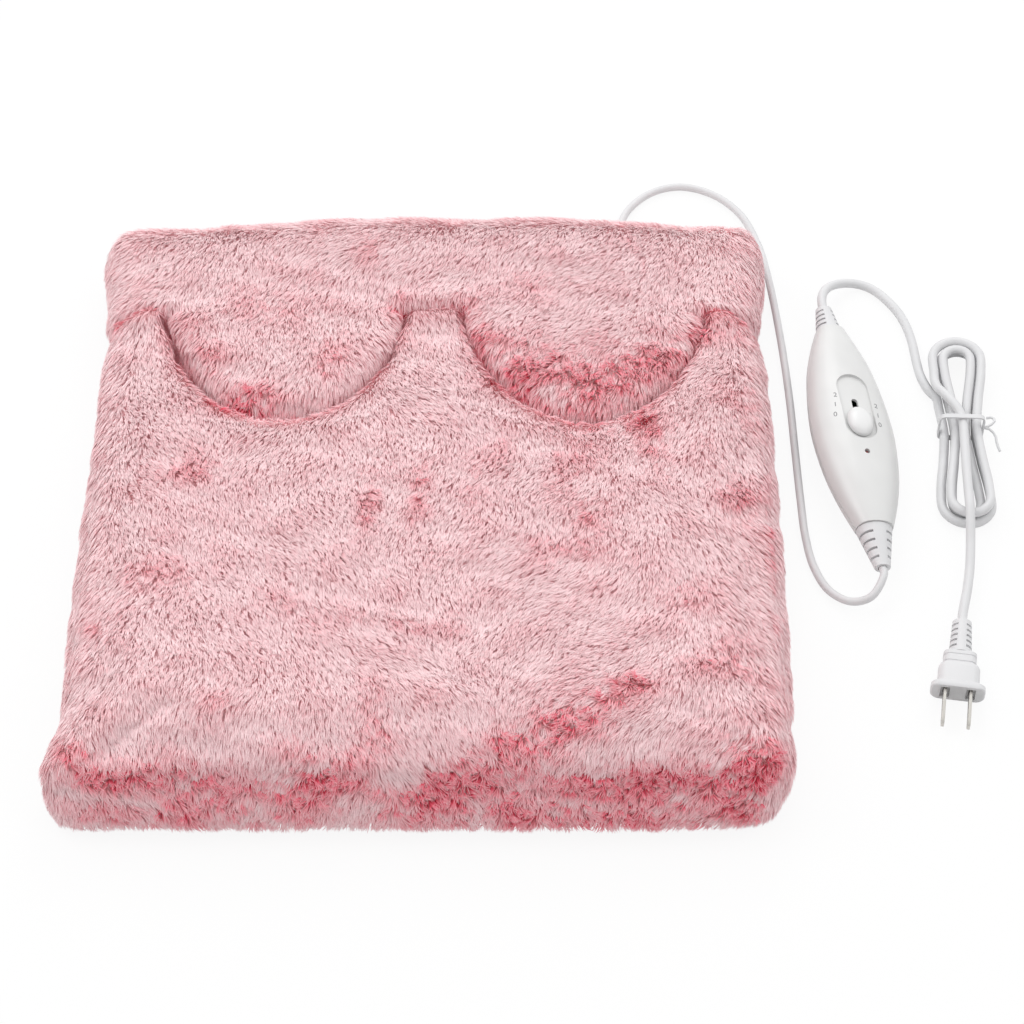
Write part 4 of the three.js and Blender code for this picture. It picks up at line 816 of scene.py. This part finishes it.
# %% Dress the soft forms
for made, nodes in ((panel, PANEL_NODES), (base, ("base_plush",))):
    made.data.materials.clear()
    made.data.materials.append(plush_backing)
    made.data.materials.append(pocket_fleece)
    for face in made.data.polygons:
        face.use_smooth = True
        in_pocket = face.center.z > 21 * MM and face.center.y < SEAM_Y - 4 * MM
        looks_in = face.normal.z < -0.3 if made is panel else face.center.z < 25 * MM
        face.material_index = int(in_pocket and looks_in)
    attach(made, "warmer")
    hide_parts(*nodes)
print("soft forms dressed")

# %% [markdown]
# White mouldings come in two kinds on this object. The switch housing is a hard gloss plastic,
# and the cords, reliefs and plug are soft vinyl with a satin skin. Both get a faint unevenness,
# because a perfectly even white looks like plaster.


# %% White plastics and metals
def moulded(name, colour, roughness, grain_scale, depth, coat=0.0):
    finish = Finish(name)
    fine = finish.grain(grain_scale, 2)
    broad = finish.grain(60, 1)
    duller = [c * 0.93 for c in colour]
    return finish.surface(
        Base_Color=finish.mix((broad * 1.5 - 0.25).limited(), duller, colour),
        Roughness=(roughness - 0.05) + 0.1 * fine,
        Coat_Weight=coat,
        Coat_Roughness=0.12,
        Normal=finish.bump(fine, 0.05, depth),
    )


def metal(name, colour, roughness):
    finish = Finish(name)
    drawn = finish.grain(500, 2, stretch=(1, 0.08, 1))
    return finish.surface(
        Base_Color=finish.mix(drawn, [c * 0.85 for c in colour], colour),
        Metallic=1.0,
        Roughness=(roughness - 0.08) + 0.2 * drawn,
        Normal=finish.bump(drawn, 0.08, 0.05 * MM),
    )


gloss_white = moulded("housing_gloss", (0.73, 0.73, 0.725), 0.36, 900, 0.02 * MM, 0.2)
knob_white = moulded("knob_gloss", (0.8, 0.8, 0.8), 0.3, 900, 0.02 * MM, 0.3)
satin_vinyl = moulded("cord_vinyl", (0.72, 0.72, 0.73), 0.45, 1400, 0.03 * MM)
dark_plastic = moulded("switch_black", (0.03, 0.03, 0.032), 0.5, 1200, 0.04 * MM)
board_green = moulded("board_green", (0.03, 0.13, 0.06), 0.4, 800, 0.03 * MM)
thermostat_black = moulded("thermostat_case", (0.02, 0.02, 0.022), 0.5, 1100, 0.04 * MM)
wire_cream = moulded("wire_insulation", (0.68, 0.63, 0.5), 0.5, 1200, 0.04 * MM)
bright_steel = metal("blade_metal", (0.66, 0.64, 0.6), 0.28)
screw_steel = metal("screw_metal", (0.5, 0.5, 0.52), 0.35)

lens = Finish("indicator_lens")
depth_of_lens = lens.grain(700, 1)
lens_red = lens.surface(
    Base_Color=lens.mix(depth_of_lens, (0.1, 0.002, 0.002), (0.26, 0.008, 0.008)), Roughness=0.15,
    Coat_Weight=0.6, Coat_Roughness=0.05,
)
print("plastics and metals ready")

# %% [markdown]
# Inside the pad are a felt sheet with the heating wire, soft padding and a lining, and the
# underside is a plain woven cloth. Woven cloth is two crossed sets of threads, and felt and
# wadding are matted fibre, so one is made of waves and the others of stretched noise.


# %% Cloths
def woven(name, colour, threads):
    finish = Finish(name)
    where = finish.place()
    x = finish.node("SeparateXYZ", {}, {0: where}, 0)
    y = finish.node("SeparateXYZ", {}, {0: where}, 1)
    weave = (x * (math.tau * threads)).wave() * (y * (math.tau * threads)).wave() * 0.5 + 0.5
    dust = finish.grain(45, 3)
    tone = finish.mix(weave, [c * 0.72 for c in colour], colour)
    worn = finish.mix((dust * 0.5).limited(), tone, [c * 0.82 for c in colour])
    return finish.surface(
        Base_Color=worn, Roughness=0.9, Sheen_Weight=0.15, Normal=finish.bump(weave, 0.5, 0.2 * MM)
    )


def matted(name, colour, scale, depth):
    finish = Finish(name)
    fibre = finish.grain(scale, 4, stretch=(1, 0.35, 1))
    cross = finish.grain(scale, 4, stretch=(0.35, 1, 1))
    mat = (fibre + cross) * 0.5
    return finish.surface(
        Base_Color=finish.mix(mat, [c * 0.75 for c in colour], colour),
        Roughness=0.95, Sheen_Weight=0.2, Normal=finish.bump(mat, 0.7, depth),
    )


underside_cloth = woven("underside_weave", (0.62, 0.3, 0.34), 1100)
padding_fibre = matted("padding_fibre", (0.8, 0.79, 0.76), 700, 0.8 * MM)
felt_fibre = matted("felt_fibre", (0.72, 0.7, 0.64), 1200, 0.3 * MM)
print("cloths ready")


# %% [markdown]
# A solid from the model has loose triangles and flat shading. Its copy is joined up and shaded
# smooth except at its real edges, and a small bevel on those edges catches the light as a moulded
# edge does.

# %% Smooth copies
REAL_EDGE = math.radians(32)  # an edge that turns by less is shaded smooth


def dressed(node, material, slot, body, bevel):
    made = merged_copy(node + "_finished", node)
    made.data.materials.clear()
    made.data.materials.append(material)
    sharp = bmesh.new()
    sharp.from_mesh(made.data)
    bmesh.ops.dissolve_limit(
        sharp, angle_limit=math.radians(0.6), verts=sharp.verts, edges=sharp.edges
    )
    for face in sharp.faces:
        face.smooth = True
    for edge in sharp.edges:
        edge.smooth = edge.calc_face_angle(0) < REAL_EDGE
    sharp.to_mesh(made.data)
    sharp.free()
    if bevel:
        rounded = made.modifiers.new("moulded_edges", "BEVEL")
        rounded.width = bevel
        rounded.segments = 2
        rounded.limit_method = "ANGLE"
        rounded.angle_limit = REAL_EDGE
        rounded.harden_normals = True
        rounded.use_clamp_overlap = True
    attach(made, body)
    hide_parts(node)
    return made


# for each node its material, slot, body and width of bevel
smooth_pieces = {
    "controller_top_shell": (gloss_white, "white_shell", "warmer", 0.25 * MM),
    "controller_bottom_shell": (gloss_white, "white_shell", "warmer", 0.25 * MM),
    "slide_knob": (knob_white, "white_shell", "knob", 0.3 * MM),
    "heater_relief": (satin_vinyl, "cord_sheath", "warmer", 0),
    "mains_relief": (satin_vinyl, "cord_sheath", "warmer", 0),
    "plug_body": (satin_vinyl, "cord_sheath", "warmer", 0.2 * MM),
    "lead_sleeve": (satin_vinyl, "cord_sheath", "warmer", 0),
    "indicator_led": (lens_red, "led_red", "warmer", 0),
    "blade_left": (bright_steel, "blade_metal", "warmer", 0.15 * MM),
    "blade_right": (bright_steel, "blade_metal", "warmer", 0.15 * MM),
    "underside_cover": (underside_cloth, "underside_fabric", "warmer", 0.8 * MM),
}
finished = {node: dressed(node, *looks) for node, looks in smooth_pieces.items()}
# the cover of the underside lies a little in from the hem, and goes to the right with the pad
cover = finished["underside_cover"].data
put_points(cover, points_of(cover) * (0.98, 0.98, 1) + (PAD_SHIFT, 0, 0))
print("smooth copies", len(finished))

# %% [markdown]
# Three levels are printed in grey on each side of the slot. They are plain numbers, cut from
# Blender's own letters and laid on the housing with a ray cast from above.

# %% Level numbers on the housing
LEVELS = [  # the number, and its x and y in millimetres
    ("2", 214.6, 66.0), ("1", 214.2, 59.3), ("0", 213.8, 52.5),
    ("2", 236.2, 62.5), ("1", 236.8, 55.9), ("0", 237.4, 49.6),
]
ink = moulded("printed_ink", (0.2, 0.2, 0.21), 0.5, 900, 0.01 * MM)
shell = finished["controller_top_shell"]
print_mesh = bmesh.new()
for text, x, y in LEVELS:
    letter = bpy.data.curves.new("letter", "FONT")
    letter.body = text
    letter.size = 4.2 * MM
    letter.extrude = 0.02 * MM
    letter.align_x, letter.align_y = "CENTER", "CENTER"
    holder = linked("letter", letter)
    graph = bpy.context.evaluated_depsgraph_get()
    flat = bpy.data.meshes.new_from_object(holder.evaluated_get(graph))
    spot, up = shell.ray_cast(Vector((x * MM, y * MM, 0.1)), Vector((0, 0, -1)))[1:3]
    across = Vector((0, 1, 0)).cross(up).normalized()
    turn = Matrix((across, up.cross(across), up)).transposed().to_4x4()
    flat.transform(Matrix.Translation(spot + up * 0.03 * MM) @ turn)
    print_mesh.from_mesh(flat)
    bpy.data.objects.remove(holder)
    bpy.data.curves.remove(letter)
    bpy.data.meshes.remove(flat)
marks_data = bpy.data.meshes.new("level_numbers")
print_mesh.to_mesh(marks_data)
print_mesh.free()
marks_data.materials.append(ink)
marks = linked("level_numbers", marks_data)
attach(marks, "warmer")
print("level numbers", len(marks_data.polygons), "faces")

# %% Finishes for the pieces that keep their solids
kept = {
    "base_padding": padding_fibre, "heating_sheet": felt_fibre, "heating_wire": wire_cream,
    "thermostat": thermostat_black, "thermal_fuse": screw_steel, "lead_junction": satin_vinyl,
    "switch_slider": dark_plastic, "slide_switch": dark_plastic, "circuit_board": board_green,
    "screw_1": screw_steel, "screw_2": screw_steel, "twist_tie": satin_vinyl,
}
for node, material in kept.items():
    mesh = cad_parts[node].data
    mesh.materials.clear()
    mesh.materials.append(material)
print("kept solids", len(kept))

# %% [markdown]
# Each cord is one curve with a round section. Its route is the model's, point for point: a smooth
# line through listed points, and for the hank a formula of loops that draw in at the waist.
# The heater lead runs from the pad to the switch, and the mains cord from the switch, through its
# hank, to the plug.

# %% Routes of the cords
HEATER_ROUTE = [
    (101, 171, 7.9), (101, 181, 7.9), (101, 187, 7.9), (101.2, 194.5, 6.9), (103.8, 204, 3.6),
    (110.5, 223, 2.5), (124, 236.5, 2.5), (140.4, 241.2, 2.5), (158.3, 235.3, 2.5),
    (173, 220.5, 2.5), (181.8, 198, 2.5), (186.3, 174, 2.5), (190.9, 128, 2.5), (193.4, 84, 2.5),
    (194.3, 48, 2.5), (195.2, 15, 2.5), (196.4, -10, 2.5), (199.6, -29, 2.5), (206.4, -44, 2.8),
    (217, -52.4, 5), (226.6, -52, 8.8),
]
MAINS_NEAR_ROUTE = [
    (214.4, 149.5, 12), (217.4, 156.4, 10.2), (223, 162, 7.4), (230.6, 165.3, 4.8),
    (238.6, 165, 3.2), (245.6, 160.8, 2.8), (251.6, 153.4, 2.8), (256.6, 145, 2.8),
    (260.1, 135, 2.8), (262.2, 124, 2.8), (263.2, 112, 2.9), (264.6, 100, 3.2), (267.6, 90, 3.7),
]
MAINS_FAR_ROUTE = [
    (271.2, 87, 10.6), (271.8, 83, 12.4), (273.6, 78.5, 14.4), (277, 72.5, 15.4),
    (280.8, 65, 15.4), (282.2, 57, 15.4), (281.8, 44, 15.4), (281.2, 28, 15.4), (280.8, 12, 15.4),
    (280.6, 1, 15.2), (280.3, -8, 13), (279.8, -18, 9.6), (278.4, -32, 7), (275.8, -46, 6.6),
]
CONTROLLER = Matrix.Translation((223.3, 53.9, 12.6)) @ Matrix.Rotation(math.radians(6.1), 4, "Z")
CONTROLLER = CONTROLLER @ Matrix.Rotation(math.radians(14), 4, "Y")
PLUG = Matrix.Translation((271.3, -66.6, 6.6)) @ Matrix.Rotation(math.radians(-8.3), 4, "Z")
HANK = Matrix.Translation((283.4, 58.3, 0)) @ Matrix.Rotation(math.radians(-1.7), 4, "Z")
HEATER_TIP, MAINS_TIP, HOUSING_END = 91, 84.5, 67  # from the middle of the switch
HANK_HALF, END_RADIUS, WAIST_HALF = 61.5, 14.4, 9.8  # of the outermost loop
LOOP_STEP = 5.7  # how far each loop lies inside the last
LOOP_POINTS, MIDDLE_POINT = 24, 36  # it climbs to its upper layer about the middle point
LOW_LAYER, LAYER_RISE = 4.0, 5.6  # heights of the two layers of the hank


def on_axis(placed, *places):
    return [tuple(placed @ Vector((0, y, 0))) for y in places]


def smooth_step(share):
    share = min(max(share, 0), 1)
    return share * share * (3 - 2 * share)


def hank_point(step):
    """A point of the hank, in millimetres in its own frame, at a step of its loops."""
    inward = LOOP_STEP * (MIDDLE_POINT - abs(step - MIDDLE_POINT)) / LOOP_POINTS
    place = step % LOOP_POINTS
    quarter, part = int(place // 6), (place % 6) / 6
    share = 1 - part if quarter % 2 else part
    run, radius, centre = 2.5 / 6, END_RADIUS - inward, HANK_HALF - END_RADIUS
    x = WAIST_HALF - inward + (radius - WAIST_HALF + inward) * smooth_step(share / run)
    y = centre * share / run
    if share > run:
        angle = math.pi / 2 * (share - run) / (1 - run)
        x, y = radius * math.cos(angle), centre + radius * math.sin(angle)
    climbed = smooth_step((step - MIDDLE_POINT) / (12 * run) + 0.5)
    right = quarter in (1, 2)
    height = LOW_LAYER + LAYER_RISE * climbed
    return Vector((x if right else -x, -y if quarter < 2 else y, height))


def beyond(end, inner, length):
    return end + (end - inner).normalized() * length


hank_line = [HANK @ hank_point(step) for step in range(-1, 71)]
hank_line.insert(0, beyond(hank_line[0], hank_line[1], 5.0))
hank_line.append(beyond(hank_line[-1], hank_line[-2], 5.0))
print("hank of", len(hank_line), "points")


# %% Curves for the cords
def through(points, fineness):
    """A smooth line through points, as a centripetal Catmull-Rom curve."""
    points = [Vector(p) for p in points]
    ends = [2 * points[0] - points[1], *points, 2 * points[-1] - points[-2]]
    line = []
    for a, b, c, d in zip(ends, ends[1:], ends[2:], ends[3:]):
        t1 = (b - a).length ** 0.5
        t2 = t1 + (c - b).length ** 0.5
        t3 = t2 + (d - c).length ** 0.5
        count = max(2, round((c - b).length / fineness))
        for k in range(count):
            t = t1 + (t2 - t1) * k / count
            ab = a.lerp(b, t / t1)
            bc = b.lerp(c, (t - t1) / (t2 - t1))
            cd = c.lerp(d, (t - t2) / (t3 - t2))
            left = ab.lerp(bc, t / t2)
            right = bc.lerp(cd, (t - t1) / (t3 - t1))
            line.append(left.lerp(right, (t - t1) / (t2 - t1)))
    return [*line, points[-1]]


def cord_curve(name, line, diameter):
    curve = bpy.data.curves.new(name, "CURVE")
    curve.dimensions = "3D"
    curve.bevel_depth = diameter / 2
    curve.bevel_resolution = 4
    curve.use_fill_caps = True
    spline = curve.splines.new("POLY")
    spline.points.add(len(line) - 1)
    for point, place in zip(spline.points, line):
        point.co = (*(place * MM), 1)
    curve.materials.append(satin_vinyl)
    made = linked(name, curve)
    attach(made, "warmer")
    return made


def length_of(line):
    return sum((b - a).length for a, b in zip(line, line[1:])) * MM


heater_line = through(
    HEATER_ROUTE + on_axis(CONTROLLER, -HEATER_TIP - 4.2, -HEATER_TIP, -HOUSING_END, -61), 1.5
)
heater_cord = cord_curve("heater_cord", heater_line, 4.2 * MM)
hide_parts("heater_lead")
round(length_of(heater_line), 3)
mains_line = through(
    on_axis(CONTROLLER, 61, HOUSING_END, MAINS_TIP, MAINS_TIP + 5) + MAINS_NEAR_ROUTE
    + hank_line + MAINS_FAR_ROUTE + on_axis(PLUG, 5, 0, -20, -26.4), 1.5
)
mains_cord = cord_curve("mains_cord", mains_line, 5.0 * MM)
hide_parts("mains_lead_near", "mains_hank", "mains_lead_far")
round(length_of(mains_line), 3)
for cord, line in (("heater lead", heater_line), ("mains cord", mains_line)):
    print(cord, round(length_of(line), 3), "m")
